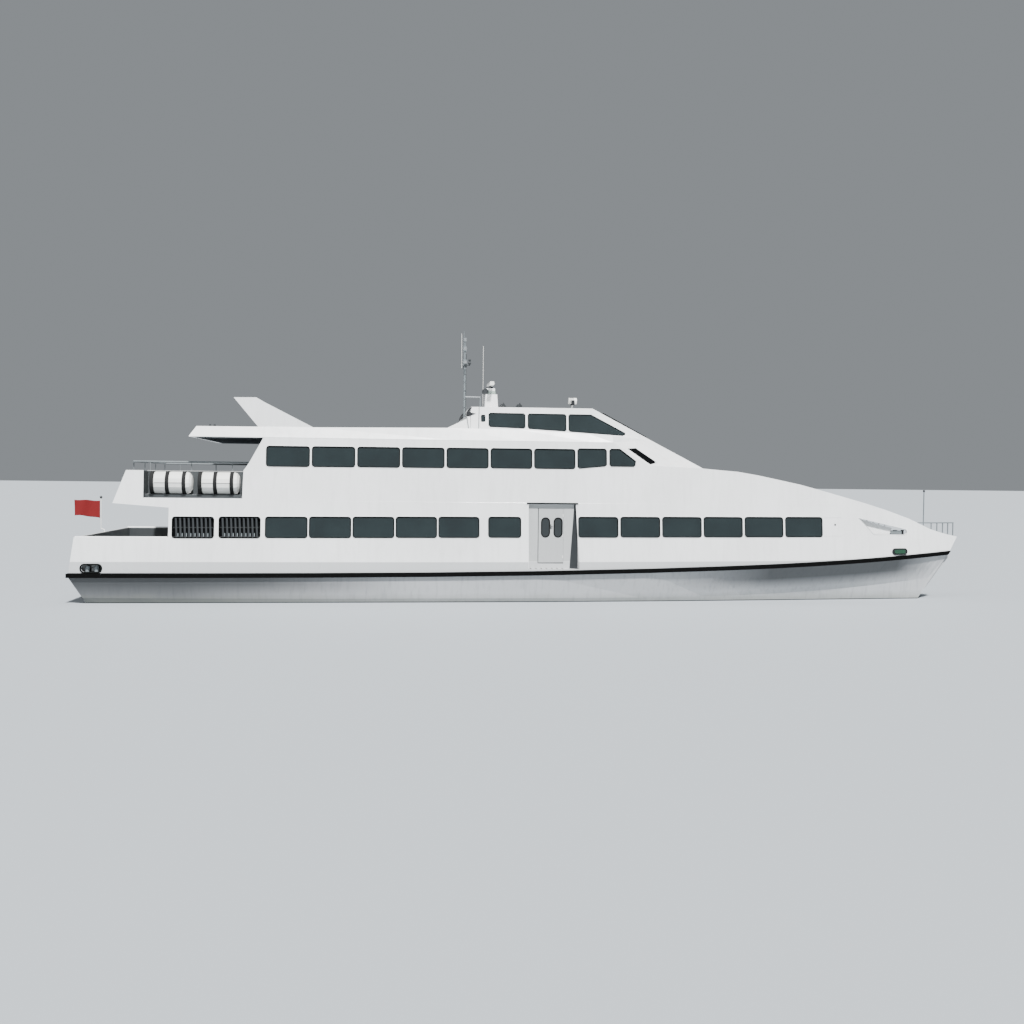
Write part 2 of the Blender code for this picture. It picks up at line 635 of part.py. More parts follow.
def make_bulkheads():
    low = deck_edge(AFT_WALL_X) + 0.001
    wall = cross_outline(AFT_WALL_X, low, UPPER_DECK_Z - 0.1 - GAP)
    outline("lower_aft_bulkhead", [wall, doorway(-0.6, 0.6, 1.12, 3.12)], "YZ",
            AFT_WALL_X + 0.01, AFT_WALL_X + 0.08, WHITE)
    door = box("lower_aft_door", (AFT_WALL_X - 0.045, -0.66, 1.08), (AFT_WALL_X + 0.005, 0.66, 3.18), WHITE)
    set_origin(door, (AFT_WALL_X, 0.0, 1.08))

    wall = cross_outline(UPPER_AFT_WALL_X, UPPER_DECK_Z + GAP, SIDE_TOP_Z - GAP)
    outline("upper_aft_bulkhead", [wall, doorway(-0.5, 0.5, 3.64, 5.60)], "YZ",
            UPPER_AFT_WALL_X, UPPER_AFT_WALL_X + WALL, WHITE)
    door = box("upper_aft_door", (UPPER_AFT_WALL_X - 0.055, -0.56, 3.60), (UPPER_AFT_WALL_X - 0.005, 0.56, 5.66),
               WHITE)
    set_origin(door, (UPPER_AFT_WALL_X, 0.0, 3.60))

    wall = cross_outline(FRONT_X + WALL, BOW_DECK_Z + 0.001, 3.63, 0.010)
    outline("front_bulkhead", [wall, doorway(-0.45, 0.45, 2.36, 3.44)], "YZ", FRONT_X, FRONT_X + WALL, WHITE)
    door = box("foredeck_door", (FRONT_X + 0.025, -0.45 + 2 * CLEAR, 2.36 + CLEAR),
               (FRONT_X + WALL, 0.45 - CLEAR, 3.44 - CLEAR), WHITE)
    set_origin(door, (FRONT_X + WALL, 0.45 - CLEAR, 2.36))


def make_saloon_sole():
    """Cabin floor, with a step up where the hulls rise forward."""
    loop = [(-12.80, 1.33), (6.3, 1.33), (6.9, 1.57), (11.27, 1.57), (11.27, 1.62), (6.88, 1.62), (6.28, 1.38),
            (-12.80, 1.38)]
    outline("saloon_sole", [loop], "XZ", -3.62, 3.62, DECK)


def make_upper_deck():
    """Upper deck, from its bulwark over the after deck to the front of the cabin."""
    rings = []
    for x in (-14.62, *STATIONS[2:STATIONS.index(JOIN_X)], JOIN_X - 0.05):
        y = side_y(x, UPPER_DECK_Z) - WALL - 0.002
        rings.append([(x, -y, UPPER_DECK_Z - 0.1), (x, y, UPPER_DECK_Z - 0.1), (x, y, UPPER_DECK_Z),
                      (x, -y, UPPER_DECK_Z)])
    deck = loft("upper_deck", rings, DECK)
    rings = []
    for x, z in ((-14.70, 3.44), (-14.315, UPPER_BULWARK_Z)):
        y = side_y(-14.0, z) - WALL - 0.002
        rings.append([(x, -y, z), (x + 0.07, -y, z), (x + 0.07, y, z), (x, y, z)])
    join(deck, loft("after_upper_bulwark", rings))
    for side, hand in SIDES:
        low, high = sorted((hand * 3.645, hand * 4.0))
        cut(deck, box("door_frame_notch_" + side, (RECESS_X[0] - 0.08, low, 3.4), (RECESS_X[1] + 0.08, high, 3.7)))


def make_roof():
    """Flat roof with sloping edges, open under the wheelhouse."""
    rings = []
    for x in (-12.05, -8.0, -3.3, -0.8, 1.76, 2.62):
        foot = SIDE_TOP_Z + GAP
        low_x = -12.28 if x == -12.05 else x
        y0 = side_y(0, foot)
        y1 = y0 - 0.17
        top = roof_top(x)
        rings.append([(low_x, -y0, foot), (low_x, y0, foot), (low_x, y0, foot + 0.02), (x, y1, top), (x, -y1, top),
                      (low_x, -y0, foot + 0.02)])
    roof = loft("roof", rings, WHITE)
    for side, hand in SIDES:
        loop = [(-9.91, 6.05), (-7.95, 6.05), (-8.11, 6.14), (-9.77, 6.98), (-10.03, 7.13), (-10.8, 7.12)]
        low, high = sorted((hand * 3.26, hand * 3.36))
        join(roof, outline("roof_fin_" + side, [loop], "XZ", low, high))
    cut(roof, outline("ceiling", [[(-9.6, 5.5), (-9.6, 6.02), (-3.3, 6.08), (-0.8, 6.06), (1.7, 5.95), (2.4, 5.90),
                                   (2.4, 5.5)]], "XZ", -3.3, 3.3))
    cut(roof, box("wheelhouse_well", (-2.16, -1.71, 5.5), (2.46, 1.71, 6.5)))


def make_front_fairing():
    """Sloping front under the windscreen, with a facet down to each side."""
    def half(hand):
        inside = WALL + GAP
        x0 = 2.62 + GAP
        return [(x0, hand * (side_y(x0, SIDE_TOP_Z) - inside), SIDE_TOP_Z + 0.02),
                (x0, hand * 3.36, 5.98),
                (4.38, hand * WHEELHOUSE_Y, 5.92),
                (6.45, hand * WHEELHOUSE_Y, 4.87),
                (5.95, hand * (side_y(5.95, 4.84) - inside), 4.84),
                (3.96, hand * (side_y(3.96, 4.93) - inside), 4.93)]
    points = half(-1) + half(1)
    faces = [(0, 1, 2), (0, 2, 5), (5, 2, 3), (5, 3, 4),
             (6, 8, 7), (6, 11, 8), (11, 9, 8), (11, 10, 9),
             (1, 7, 8, 2), (2, 8, 9, 3)]
    fairing = sheet_down("front_fairing", points, faces, 0.06, WHITE)
    return fairing


def make_foredeck_roof():
    """Roof of the forward cabin, falling towards the bow between the side panels."""
    inside = WALL + 0.010
    points = []
    for x, z in ((5.957, 4.84), (8.0, 4.62), (9.65, 4.29), (10.8, 4.0), (11.28, crest(11.28)), (12.3, crest(12.3))):
        y = side_y(x, z) - inside
        flat_x, flat_z = (6.457, 4.87) if x < 6 else (x, z + 0.02)
        points += [(x, -y, z), (flat_x, -WHEELHOUSE_Y, flat_z), (flat_x, WHEELHOUSE_Y, flat_z), (x, y, z)]
    faces = []
    for row in range(5):
        for k in range(3):
            a = row * 4 + k
            faces.append((a, a + 1, a + 5, a + 4))
    return sheet_down("foredeck_roof", points, faces, 0.06, WHITE)


# ---------------------------------------------------------------- wheelhouse
def wheelhouse_block(name, inset, foot, material=None):
    """The wheelhouse's outer form, drawn in by inset, standing on foot above the roof."""
    base = [(4.38, 5.92), (2.62, 5.98), (1.76, 6.04), (-0.8, 6.16), (-2.42, roof_top(-2.42))]
    slope = (7.07 - 5.92) / (4.38 - 2.18)
    drop = inset * (1 + slope ** 2) ** 0.5
    loop = [(2.18 + (inset - drop) / slope, 7.07 - inset), (-2.40 + inset, 7.05 - inset)]
    loop += [(-2.42 + inset, base[-1][1] + foot)]
    loop += [(x, z + foot) for x, z in reversed(base[1:-1])]
    nose = 4.38 - (drop + foot) / slope
    loop += [(nose, 5.92 + foot + (4.38 - nose) * 0.034)]
    block = outline(name, [loop], "XZ", -WHEELHOUSE_Y + inset, WHEELHOUSE_Y - inset, material)
    for vertex in block.data.vertices:
        vertex.co.y *= 1 - WHEELHOUSE_LEAN * (vertex.co.z - 5.92) / WHEELHOUSE_Y
    return block


def make_wheelhouse():
    house = wheelhouse_block("wheelhouse", 0.0, 0.001, WHITE)
    join(house, box("steering_well_outside", (-2.15, -1.70, 5.0), (2.45, 1.70, 6.25)))
    cut(house, wheelhouse_block("wheelhouse_inside", WALL, 0.05))
    cut(house, box("steering_well_inside", (-2.09, -1.64, 5.06), (2.39, 1.64, 6.5)))
    panes = [rounded(-2.03, -1.87, 6.50, 6.76, 0.04),
             [(-1.75, 6.37), (-1.69, 6.31), (-0.43, 6.27), (-0.37, 6.32), (-0.37, 6.78), (-0.43, 6.84),
              (-1.69, 6.84), (-1.75, 6.78)],
             [(-0.28, 6.32), (-0.22, 6.26), (1.12, 6.19), (1.18, 6.24), (1.18, 6.78), (1.12, 6.84),
              (-0.22, 6.84), (-0.28, 6.78)],
             [(1.26, 6.24), (1.32, 6.18), (3.32, 6.06), (3.42, 6.10), (3.42, 6.17), (2.12, 6.84),
              (1.32, 6.84), (1.26, 6.78)]]
    for k, loop in enumerate(panes):
        cut(house, outline("side_pane_%d" % k, [loop], "XZ", -2.2, 2.2))
    slope = atan2(7.07 - 5.92, 4.38 - 2.18)
    for k in range(4):
        y0 = -1.74 + k * 0.88
        pane = outline("front_pane_%d" % k, [rounded(-0.90, 0.90, y0, y0 + 0.84, 0.06)], "XY", -0.15, 0.15)
        pane.data.transform(Matrix.Translation((3.42, 0, 6.42)) @ Matrix.Rotation(slope, 4, "Y"))
        cut(house, pane)

    glass = wheelhouse_block("wheelhouse_glass", WALL + 0.0005, 0.056, GLASS)
    cut(glass, wheelhouse_block("glass_inside", WALL + 0.0125, -0.3))
    cut(glass, box("glass_trim_aft", (-2.6, -2.2, 5.5), (-2.08, 2.2, 7.3)))
    cut(glass, box("glass_trim_top", (-2.6, -2.2, 6.93), (4.6, 2.2, 7.3)))


# ---------------------------------------------------------------- gear on deck and roof
def raft_bay(side, hand):
    """Shelf, inner screen and saddle rails for two life rafts."""
    foot, shelf, saddle = UPPER_DECK_Z + GAP, 3.61, 3.735
    loop = [(3.74, foot), (2.84, foot), (2.84, UPPER_BULWARK_Z), (2.88, UPPER_BULWARK_Z), (2.88, shelf),
            (3.14, shelf), (3.14, saddle), (3.22, saddle), (3.22, shelf), (3.34, shelf), (3.34, saddle),
            (3.42, saddle), (3.42, shelf), (3.74, shelf)]
    return outline("raft_bay_" + side, [[(hand * y, z) for y, z in loop]], "YZ", RAFT_BAY[0] - 0.04,
                   RAFT_BAY[1] + 0.04)


def make_raft(side, hand, name, x):
    half = 0.72
    profile = [(0, half), (0.24, half - 0.02), (0.35, half - 0.09), (0.39, half - 0.2)]
    profile += [(r, -z) for r, z in reversed(profile)]
    turned("liferaft_%s_%s" % (side, name), profile, (x, hand * 3.28, 4.128), (1, 0, 0), 16, CANISTER)


def make_mast():
    x, foot = -2.51, roof_top(-2.51) + 0.001
    profile = [(0, 9.83), (0.06, 9.83), (0.06, 9.68), (0.03, 9.66), (0.03, 9.52), (0.075, 9.50), (0.075, 9.32),
               (0.036, 9.30), (0.036, 9.0), (0.085, 8.98), (0.085, 8.80), (0.042, 8.78), (0.042, foot + 0.03),
               (0.085, foot + 0.03), (0.085, foot), (0, foot)]
    mast = turned("mast", [(r, z - foot) for r, z in profile], (x, 0, foot), (0, 0, 1), 12, STEEL)
    join(mast, tube("yard", [(x, -0.45, 8.62), (x, 0.45, 8.62)], 0.022))
    join(mast, rod("whip_aerial", (x, 0.42, 8.60), (x, 0.42, 10.15), 0.012, 8))
    join(mast, tube("stay_bracket", [(x, 0, 7.55), (-1.90, 0, 7.55), (-1.90, 0, 7.065)], 0.022))


def make_radar():
    foot = 7.0565
    pedestal = loft("radar_pedestal", [
        [(-1.74, -0.25, foot), (-1.22, -0.25, foot), (-1.22, 0.25, foot), (-1.74, 0.25, foot)],
        [(-1.70, -0.20, 7.66), (-1.26, -0.20, 7.66), (-1.26, 0.20, 7.66), (-1.70, 0.20, 7.66)]], WHITE)
    join(pedestal, box("radar_gearbox", (-1.66, -0.15, 7.60), (-1.34, 0.15, 7.90)))
    join(pedestal, rod("radar_post", (-1.5, 0, 7.8), (-1.5, 0, 7.97), 0.05, 12))
    scanner = outline("radar_scanner", [[(-1.57, 7.985), (-1.43, 7.985), (-1.41, 8.02), (-1.43, 8.12),
                                         (-1.57, 8.12), (-1.59, 8.02)]], "XZ", -0.62, 0.62, WHITE)
    set_origin(scanner, (-1.5, 0, 8.05))


def make_searchlight():
    x, y, foot = 1.62, -0.6, 7.0705
    light = rod("searchlight", (x - 0.14, y, 7.43), (x + 0.16, y, 7.43), 0.12, 12, STEEL)
    join(light, rod("searchlight_stem", (x, y, foot + 0.006), (x, y, 7.40), 0.022, 10))
    set_origin(light, (x, y, 7.43))


def posts(item, name, feet, top, radius):
    for k, (x, y, z) in enumerate(feet):
        join(item, rod("%s_post_%d" % (name, k), (x, y, z), (x, y, top), radius, 8))


def make_rails():
    y, x_aft, top = 2.86, -14.26, 4.86
    rail = tube("upper_deck_rail", [(-9.97, -y, top), (x_aft, -y, top), (x_aft, y, top), (-9.97, y, top)], 0.02,
                STEEL)
    foot = UPPER_BULWARK_Z + 0.001
    feet = [(x, hand * y, foot) for x in (-13.7, -12.3, -10.9) for hand in (-1, 1)]
    feet += [(x_aft - 0.02, k * 1.9, foot) for k in (-1.45, -0.5, 0.5, 1.45)]
    posts(rail, "upper_rail", feet, top, 0.016)


def make_ensign():
    """Staff cranked aft over the stern, with its ball, and the flag on it."""
    foot_x, x = -15.93, -16.06
    staff = tube("ensign_staff", [(foot_x, 0, BULWARK_Z + 0.001), (foot_x, 0, 2.33), (x, 0, 2.38), (x, 0, 3.52)],
                 0.018, STEEL)
    join(staff, turned("truck", [(0, 0.05), (0.035, 0.035), (0.05, 0), (0.035, -0.035), (0, -0.05)], (x, 0, 3.55),
                       (0, 0, 1), 8))
    box("ensign", (x - 1.02, -0.07, 2.74), (x - 0.025, 0.07, 3.47), FLAG)


def make_seats(name, x0, pitch, count, floor, rows_y):
    """Rows of seats on rails that run along the cabin, all joined to one floor track."""
    start, end, track = x0 - 0.2, x0 + pitch * (count - 1) + 0.8, floor + 0.04
    loop = [(start, floor), (end, floor), (end, track)]
    for k in reversed(range(count)):
        x = x0 + pitch * k
        loop += [(x + 0.52, track), (x + 0.52, floor + 0.42), (x + 0.12, floor + 0.42),
                 (x, floor + 1.08), (x - 0.08, floor + 1.08), (x + 0.04, track)]
    loop.append((start, track))
    seats = outline(name, [loop], "XZ", rows_y[0], rows_y[1], SEAT)
    join(seats, outline(name + "_far", [loop], "XZ", -rows_y[1], -rows_y[0]))
    join(seats, box(name + "_track", (x0, -rows_y[1] + 0.3, floor), (x0 + 1.2, rows_y[1] - 0.3, floor + 0.03)))


# ---------------------------------------------------------------- build
for side, hand in SIDES:
    make_hull(side, hand)
    make_running_gear(side, hand)
    make_lower_side(side, hand)
    make_side_door(side, hand)
    make_side_strip("intake_grille_" + side, hand, [(-12.80, 2.14, 3.08), (-9.74, 2.14, 3.08)], 0.03, GRILLE)
    make_side_strip("lower_glass_aft_" + side, hand, [(-9.72, 2.18, 3.12), (-0.68, 2.20, 3.14)], 0.012, GLASS)
    make_side_strip("lower_glass_forward_" + side, hand,
                    [(1.285, 2.22, 3.15), (4.0, 2.23, 3.16), (6.5, 2.24, 3.17), (8.0, 2.25, 3.18), (9.0, 2.25, 3.18),
                     (10.2, 2.27, 3.20), (10.55, 2.27, 3.20)], 0.012, GLASS, 0.010)
    make_upper_side(side, hand)
    make_side_strip("upper_glass_" + side, hand,
                    [(-9.715, 4.66, 5.56), (2.86, 4.72, 5.53), (3.50, 4.80, 5.06)], 0.012, GLASS)
    make_bow_bulwark(side, hand)
    make_bow_deck(side, hand)
    make_raft(side, hand, "aft", -12.90)
    make_raft(side, hand, "forward", -11.29)
make_fender()
make_bridge_deck()
make_aft_bulwark()
make_bulkheads()
make_saloon_sole()
make_upper_deck()
make_roof()
make_front_fairing()
make_foredeck_roof()
make_wheelhouse()
make_mast()
make_radar()
make_searchlight()
make_rails()
make_ensign()
make_seats("saloon_seats", -11.9, 0.95, 18, 1.38 + GAP, (0.45, 3.35))
make_seats("upper_seats", -9.0, 0.95, 11, UPPER_DECK_Z + GAP, (0.45, 3.2))
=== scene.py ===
"""Looks of the passenger ferry: finishes, glazing, deck gear, seats and the ensign.

Metres. +X points to the bow, +Y to port, +Z up; the water is at Z 0.
"""

from math import cos, pi, radians, sin, tan

import bmesh
import bpy
from mathutils import Matrix, Vector


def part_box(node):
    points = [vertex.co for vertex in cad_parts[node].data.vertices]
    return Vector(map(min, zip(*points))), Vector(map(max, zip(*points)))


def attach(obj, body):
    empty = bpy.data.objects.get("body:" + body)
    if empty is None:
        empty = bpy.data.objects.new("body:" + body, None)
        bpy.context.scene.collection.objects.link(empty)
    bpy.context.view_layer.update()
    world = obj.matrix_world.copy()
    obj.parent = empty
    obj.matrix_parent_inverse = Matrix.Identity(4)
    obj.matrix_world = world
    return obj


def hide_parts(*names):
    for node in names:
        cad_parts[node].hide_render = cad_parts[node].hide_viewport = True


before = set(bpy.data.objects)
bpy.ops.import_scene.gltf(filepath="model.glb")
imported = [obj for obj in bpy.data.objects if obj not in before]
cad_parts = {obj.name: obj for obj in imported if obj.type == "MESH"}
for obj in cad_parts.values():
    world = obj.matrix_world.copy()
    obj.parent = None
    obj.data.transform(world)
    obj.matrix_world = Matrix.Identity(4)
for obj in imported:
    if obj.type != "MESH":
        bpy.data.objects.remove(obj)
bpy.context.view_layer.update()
SHIP = "ship"
SIDES = (("starboard", -1), ("port", 1))

# ---------------------------------------------------------------- the ship's lines
HULL_LOW, HULL_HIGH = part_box("hull_port")
STERN_X, STEM_X = HULL_LOW[0], HULL_HIGH[0]
HALF_BEAM = HULL_HIGH[1]
HULL_Y = 2.9
TAPER_X = 8.0
DECK_Z = 1.05
SHEER, SHEER_POWER = 0.79, 3.2
KNUCKLE_Z, KNUCKLE_RISE = 1.43, 0.16
UPPER_DECK_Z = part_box("upper_aft_bulkhead")[0][2]
BOW_DECK_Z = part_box("front_bulkhead")[0][2]
AFT_WALL_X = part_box("lower_aft_bulkhead")[0][0]
UPPER_AFT_WALL_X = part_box("upper_aft_bulkhead")[0][0]
SIDE_TOP_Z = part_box("roof")[0][2]
LEAN = tan(radians(6.0))
WALL = 0.07
DOOR_X = (-0.12, 0.81)
DOOR_Y = 3.70
CREST = ((3.96, 4.93), (5.95, 4.84), (7.24, 4.74), (8.0, 4.62), (9.65, 4.29), (10.8, 4.0),
         (12.34, 3.60), (13.71, 3.20), (14.28, 2.99), (15.06, 2.65), (15.67, 2.48), (16.28, 2.37))
ROOF_LINE = ((-12.05, 6.10), (-8.0, 6.12), (-3.3, 6.18), (-0.8, 6.16), (1.76, 6.04), (2.62, 5.98))
WHEELHOUSE_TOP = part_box("wheelhouse")[1][2]
MAST_X = -2.51
STAFF_X = -16.06
JACK_X = 14.75


def between(line, x):
    for (x0, z0), (x1, z1) in zip(line, line[1:]):
        if x <= x1:
            return z0 + (z1 - z0) * (x - x0) / (x1 - x0)
    return line[-1][1]


def climb(x):
    return max(0.0, (x - STERN_X) / (STEM_X - STERN_X)) ** SHEER_POWER


def deck_edge(x):
    return DECK_Z + SHEER * climb(x)


def knuckle(x):
    return max(KNUCKLE_Z + KNUCKLE_RISE * climb(x), deck_edge(x) + 0.03)


def outer_y(x):
    return HALF_BEAM - (HALF_BEAM - HULL_Y - 0.05) * max(0.0, (x - TAPER_X) / (STEM_X - TAPER_X)) ** 2


def side_y(x, z):
    return outer_y(x) - max(0.0, z - knuckle(x)) * LEAN


def wheelhouse_y(z):
    return 1.95 - 0.12 * (z - 5.92)


def on_side(hand, proud=0.0):
    """Turns (x, z) into a point on the ship's side, standing proud by that much."""
    return lambda x, z: Vector((x, hand * (side_y(x, z) + proud), z))


def on_wheelhouse(hand, proud=0.0):
    return lambda x, z: Vector((x, hand * (wheelhouse_y(z) + proud), z))


def on_door(hand, proud=0.0):
    return lambda x, z: Vector((x, hand * (DOOR_Y + proud), z))


# ---------------------------------------------------------------- finishes
def colour(code):
    """sRGB hex to the linear colour the shader wants."""
    parts = [int(code[i:i + 2], 16) / 255 for i in (1, 3, 5)]
    return tuple(p / 12.92 if p <= 0.04045 else ((p + 0.055) / 1.055) ** 2.4 for p in parts) + (1.0,)


def add(tree, kind, inputs=None, **settings):
    """Adds one node; a value that is a socket is linked, any other is set."""
    made = tree.nodes.new(kind)
    for name, value in settings.items():
        setattr(made, name, value)
    for name, value in (inputs or {}).items():
        if isinstance(value, bpy.types.NodeSocket):
            tree.links.new(value, made.inputs[name])
        else:
            made.inputs[name].default_value = value
    return made


def finish(name, code, roughness, **sockets):
    """A material with its shader's own sockets set."""
    material = bpy.data.materials.new(name)
    material.use_nodes = True
    tree = material.node_tree
    shader = tree.nodes["Principled BSDF"]
    shader.inputs["Base Color"].default_value = colour(code)
    shader.inputs["Roughness"].default_value = roughness
    for socket, value in sockets.items():
        shader.inputs[socket.replace("_", " ")].default_value = value
    return material, tree, shader


def feed(shader, socket, value):
    shader.id_data.links.new(value, shader.inputs[socket])


def place(tree, scale=(1, 1, 1)):
    where = add(tree, "ShaderNodeTexCoord")
    made = add(tree, "ShaderNodeMapping", {"Vector": where.outputs["Object"], "Scale": scale})
    return made.outputs["Vector"]


def noise(tree, size_mm, stretch=(1, 1, 1), detail=4.0):
    """Noise whose blobs are about size_mm across, stretched along the axes."""
    scale = [1 / s for s in stretch]
    return add(tree, "ShaderNodeTexNoise", {"Vector": place(tree, scale), "Scale": 1000 / size_mm,
                                            "Detail": detail}).outputs["Fac"]


def fade(tree, value, low, high, start=0.0, end=1.0):
    spans = {"Value": value, "From Min": low, "From Max": high, "To Min": start, "To Max": end}
    return add(tree, "ShaderNodeMapRange", spans).outputs["Result"]


def blend_colour(tree, factor, first, second):
    made = add(tree, "ShaderNodeMix", data_type="RGBA")
    tree.links.new(factor, made.inputs["Factor"])
    for socket, value in ((made.inputs[6], first), (made.inputs[7], second)):
        if isinstance(value, bpy.types.NodeSocket):
            tree.links.new(value, socket)
        else:
            socket.default_value = colour(value)
    return made.outputs[2]


def roughen(tree, shader, height, depth_mm, strength=0.5):
    made = add(tree, "ShaderNodeBump", {"Height": height, "Distance": depth_mm / 1000, "Strength": strength})
    feed(shader, "Normal", made.outputs["Normal"])


def rise(tree, start, gain):
    """Height over a line that climbs to the bow as the deck edge does."""
    where = add(tree, "ShaderNodeSeparateXYZ", {"Vector": place(tree)})
    along = fade(tree, where.outputs["X"], STERN_X, STEM_X)
    lift = add(tree, "ShaderNodeMath", {0: along, 1: SHEER_POWER}, operation="POWER").outputs[0]
    line = add(tree, "ShaderNodeMath", {0: lift, 1: gain, 2: start}, operation="MULTIPLY_ADD").outputs[0]
    height = add(tree, "ShaderNodeMath", {0: where.outputs["Z"], 1: line}, operation="SUBTRACT").outputs[0]
    return where.outputs["X"], where.outputs["Y"], height


def multiply(tree, *values):
    made = values[0]
    for value in values[1:]:
        made = add(tree, "ShaderNodeMath", {0: made, 1: value}, operation="MULTIPLY").outputs[0]
    return made


def painted_strip_and_recess_shade(tree, tone):
    """Painted shade darkens the upright strip over the fender and greys the door recess."""
    x, y, height = rise(tree, KNUCKLE_Z, KNUCKLE_RISE)
    # Painted shade on the upright strip over the fender.
    painted_strip_shade = fade(tree, height, 0.012, -0.012, 0.0, 0.85)
    tone = blend_colour(tree, painted_strip_shade, tone, "#B2B4B5")
    # Painted shade in the door recess.
    recess = multiply(tree, fade(tree, multiply(tree, y, y), 14.4, 14.2), fade(tree, x, -0.56, -0.54),
                      fade(tree, x, 1.36, 1.34), fade(tree, height, 0.0, 0.01, 0.0, 0.9))
    return blend_colour(tree, recess, tone, "#A6A8A8")


def painted_plating(name, code, dirt, streak=0.35, gloss=0.3, over_fender=False):
    """Two-pack marine enamel sprayed on welded aluminium plate.

    Rain leaves faint streaks down it, and the plate is drawn in between frames 500 mm apart.
    """
    material, tree, shader = finish(name, code, gloss, Coat_Weight=0.25, Coat_Roughness=0.12)
    streaks = fade(tree, noise(tree, 160, (1, 1, 14)), 0.48, 0.75, 0.0, streak)
    patches = fade(tree, noise(tree, 2600), 0.35, 0.7, 0.0, 0.25)
    tone = blend_colour(tree, streaks, blend_colour(tree, patches, code, dirt), dirt)
    feed(shader, "Base Color", painted_strip_and_recess_shade(tree, tone) if over_fender else tone)
    feed(shader, "Roughness", fade(tree, noise(tree, 700), 0.3, 0.7, gloss - 0.06, gloss + 0.12))
    waves = {"Vector": place(tree), "Scale": 2 * pi / (0.5 * 20), "Distortion": 1.2, "Detail": 1.0}
    frames = add(tree, "ShaderNodeTexWave", waves, bands_direction="X").outputs["Fac"]
    roughen(tree, shader, frames, 1.6, 0.35)
    return material


def hull_paint():
    """Marine enamel above the water and matt antifouling below it.

    A band of grime sits above the water and dull streaks run down from the fender. Painted shade
    darkens the plates towards the stern and under the fender at both ends.
    """
    code, dirt = "#A9ABAD", "#7C7E82"
    material, tree, shader = finish("hull enamel over antifouling", code, 0.35, Coat_Weight=0.2,
                                    Coat_Roughness=0.2)
    height = add(tree, "ShaderNodeSeparateXYZ", {"Vector": place(tree)}).outputs["Z"]
    wobble = fade(tree, noise(tree, 240, (3, 3, 1)), 0.3, 0.7, -0.05, 0.05)
    ragged = add(tree, "ShaderNodeMath", {0: height, 1: wobble}, operation="ADD").outputs[0]
    streaks = fade(tree, noise(tree, 110, (1, 1, 12)), 0.5, 0.8, 0.0, 0.45)
    tone = blend_colour(tree, streaks, code, dirt)
    x, _, below = rise(tree, DECK_Z, SHEER)
    # Painted shade: the hull darkens towards the stern.
    tone = blend_colour(tree, fade(tree, x, -4.0, -12.5, 0.0, 0.82), tone, "#303336")
    # Painted shade under the fender towards the stern.
    painted_stern_shade = multiply(tree, fade(tree, x, -5.0, -10.0, 0.0, 0.7), fade(tree, below, -0.75, -0.4))
    tone = blend_colour(tree, painted_stern_shade, tone, "#222527")
    # Painted shade under the fender towards the bow.
    painted_bow_shade = multiply(tree, fade(tree, x, 4.5, 8.5, 0.0, 0.88), fade(tree, x, 15.2, 13.6),
                     fade(tree, below, -0.95, -0.55))
    tone = blend_colour(tree, painted_bow_shade, tone, "#232628")
    tone = blend_colour(tree, fade(tree, ragged, 0.34, 0.02, 0.0, 0.55), tone, "#6F7268")
    boot_top = fade(tree, height, 0.035, 0.03)
    tone = blend_colour(tree, boot_top, tone, "#23272B")
    weed = fade(tree, noise(tree, 90), 0.45, 0.7, 0.0, 0.5)
    bottom = blend_colour(tree, weed, "#5A2A26", "#3E2B27")
    feed(shader, "Base Color", blend_colour(tree, fade(tree, height, -0.10, -0.105), tone, bottom))
    feed(shader, "Roughness", fade(tree, height, 0.0, 0.12, 0.8, 0.34))
    roughen(tree, shader, noise(tree, 900), 4.0, 0.25)
    return material


def grit_deck(name, code):
    """Non-slip deck paint: sand rolled into epoxy, worn lighter where feet pass."""
    material, tree, shader = finish(name, code, 0.9)
    worn = fade(tree, noise(tree, 1400), 0.4, 0.7, 0.0, 0.4)
    feed(shader, "Base Color", blend_colour(tree, worn, code, "#8C8F90"))
    roughen(tree, shader, noise(tree, 6, detail=8.0), 1.2, 0.8)
    return material


def black_rubber(name, code, roughness=0.75, salt_tone="#2A2B2B"):
    """Extruded EPDM: dull black, greyed by salt in long patches."""
    material, tree, shader = finish(name, code, roughness, Specular_IOR_Level=0.08)
    salt = fade(tree, noise(tree, 180, (6, 1, 1)), 0.5, 0.8, 0.0, 0.35)
    feed(shader, "Base Color", blend_colour(tree, salt, code, salt_tone))
    roughen(tree, shader, noise(tree, 14), 0.8, 0.4)
    return material


def tinted_glass(name, code):
    """Toughened glass with a grey-green body tint; it shows the cabin only dimly."""
    material, tree, shader = finish(name, code, 0.06, IOR=1.5, Transmission_Weight=0.45, Coat_Weight=0.4,
                                    Coat_Roughness=0.03)
    haze = fade(tree, noise(tree, 900), 0.35, 0.7, 0.0, 0.35)
    feed(shader, "Base Color", blend_colour(tree, haze, code, "#384547"))
    feed(shader, "Roughness", fade(tree, noise(tree, 420), 0.3, 0.8, 0.04, 0.12))
    return material


def satin_metal(name, code, roughness=0.28):
    """Metal with a fine brushed grain, duller where hands and salt have been."""
    material, tree, shader = finish(name, code, roughness, Metallic=1.0)
    dull = fade(tree, noise(tree, 300), 0.4, 0.7, 0.0, 0.5)
    feed(shader, "Base Color", blend_colour(tree, dull, code, "#6E7072"))
    tree.links.new(fade(tree, noise(tree, 18), 0.3, 0.7, roughness - 0.08, roughness + 0.14),
                   shader.inputs["Roughness"])
    roughen(tree, shader, noise(tree, 18), 0.15, 0.3)
    return material


def moulded(name, code, roughness, spread, depth_mm=0.4, **sockets):
    """Moulded plastic or gelcoat with slight yellowing and a soft pebble."""
    material, tree, shader = finish(name, code, roughness, **sockets)
    age = fade(tree, noise(tree, 500), 0.4, 0.75, 0.0, 0.3)
    feed(shader, "Base Color", blend_colour(tree, age, code, spread))
    roughen(tree, shader, noise(tree, 25), depth_mm, 0.3)
    return material


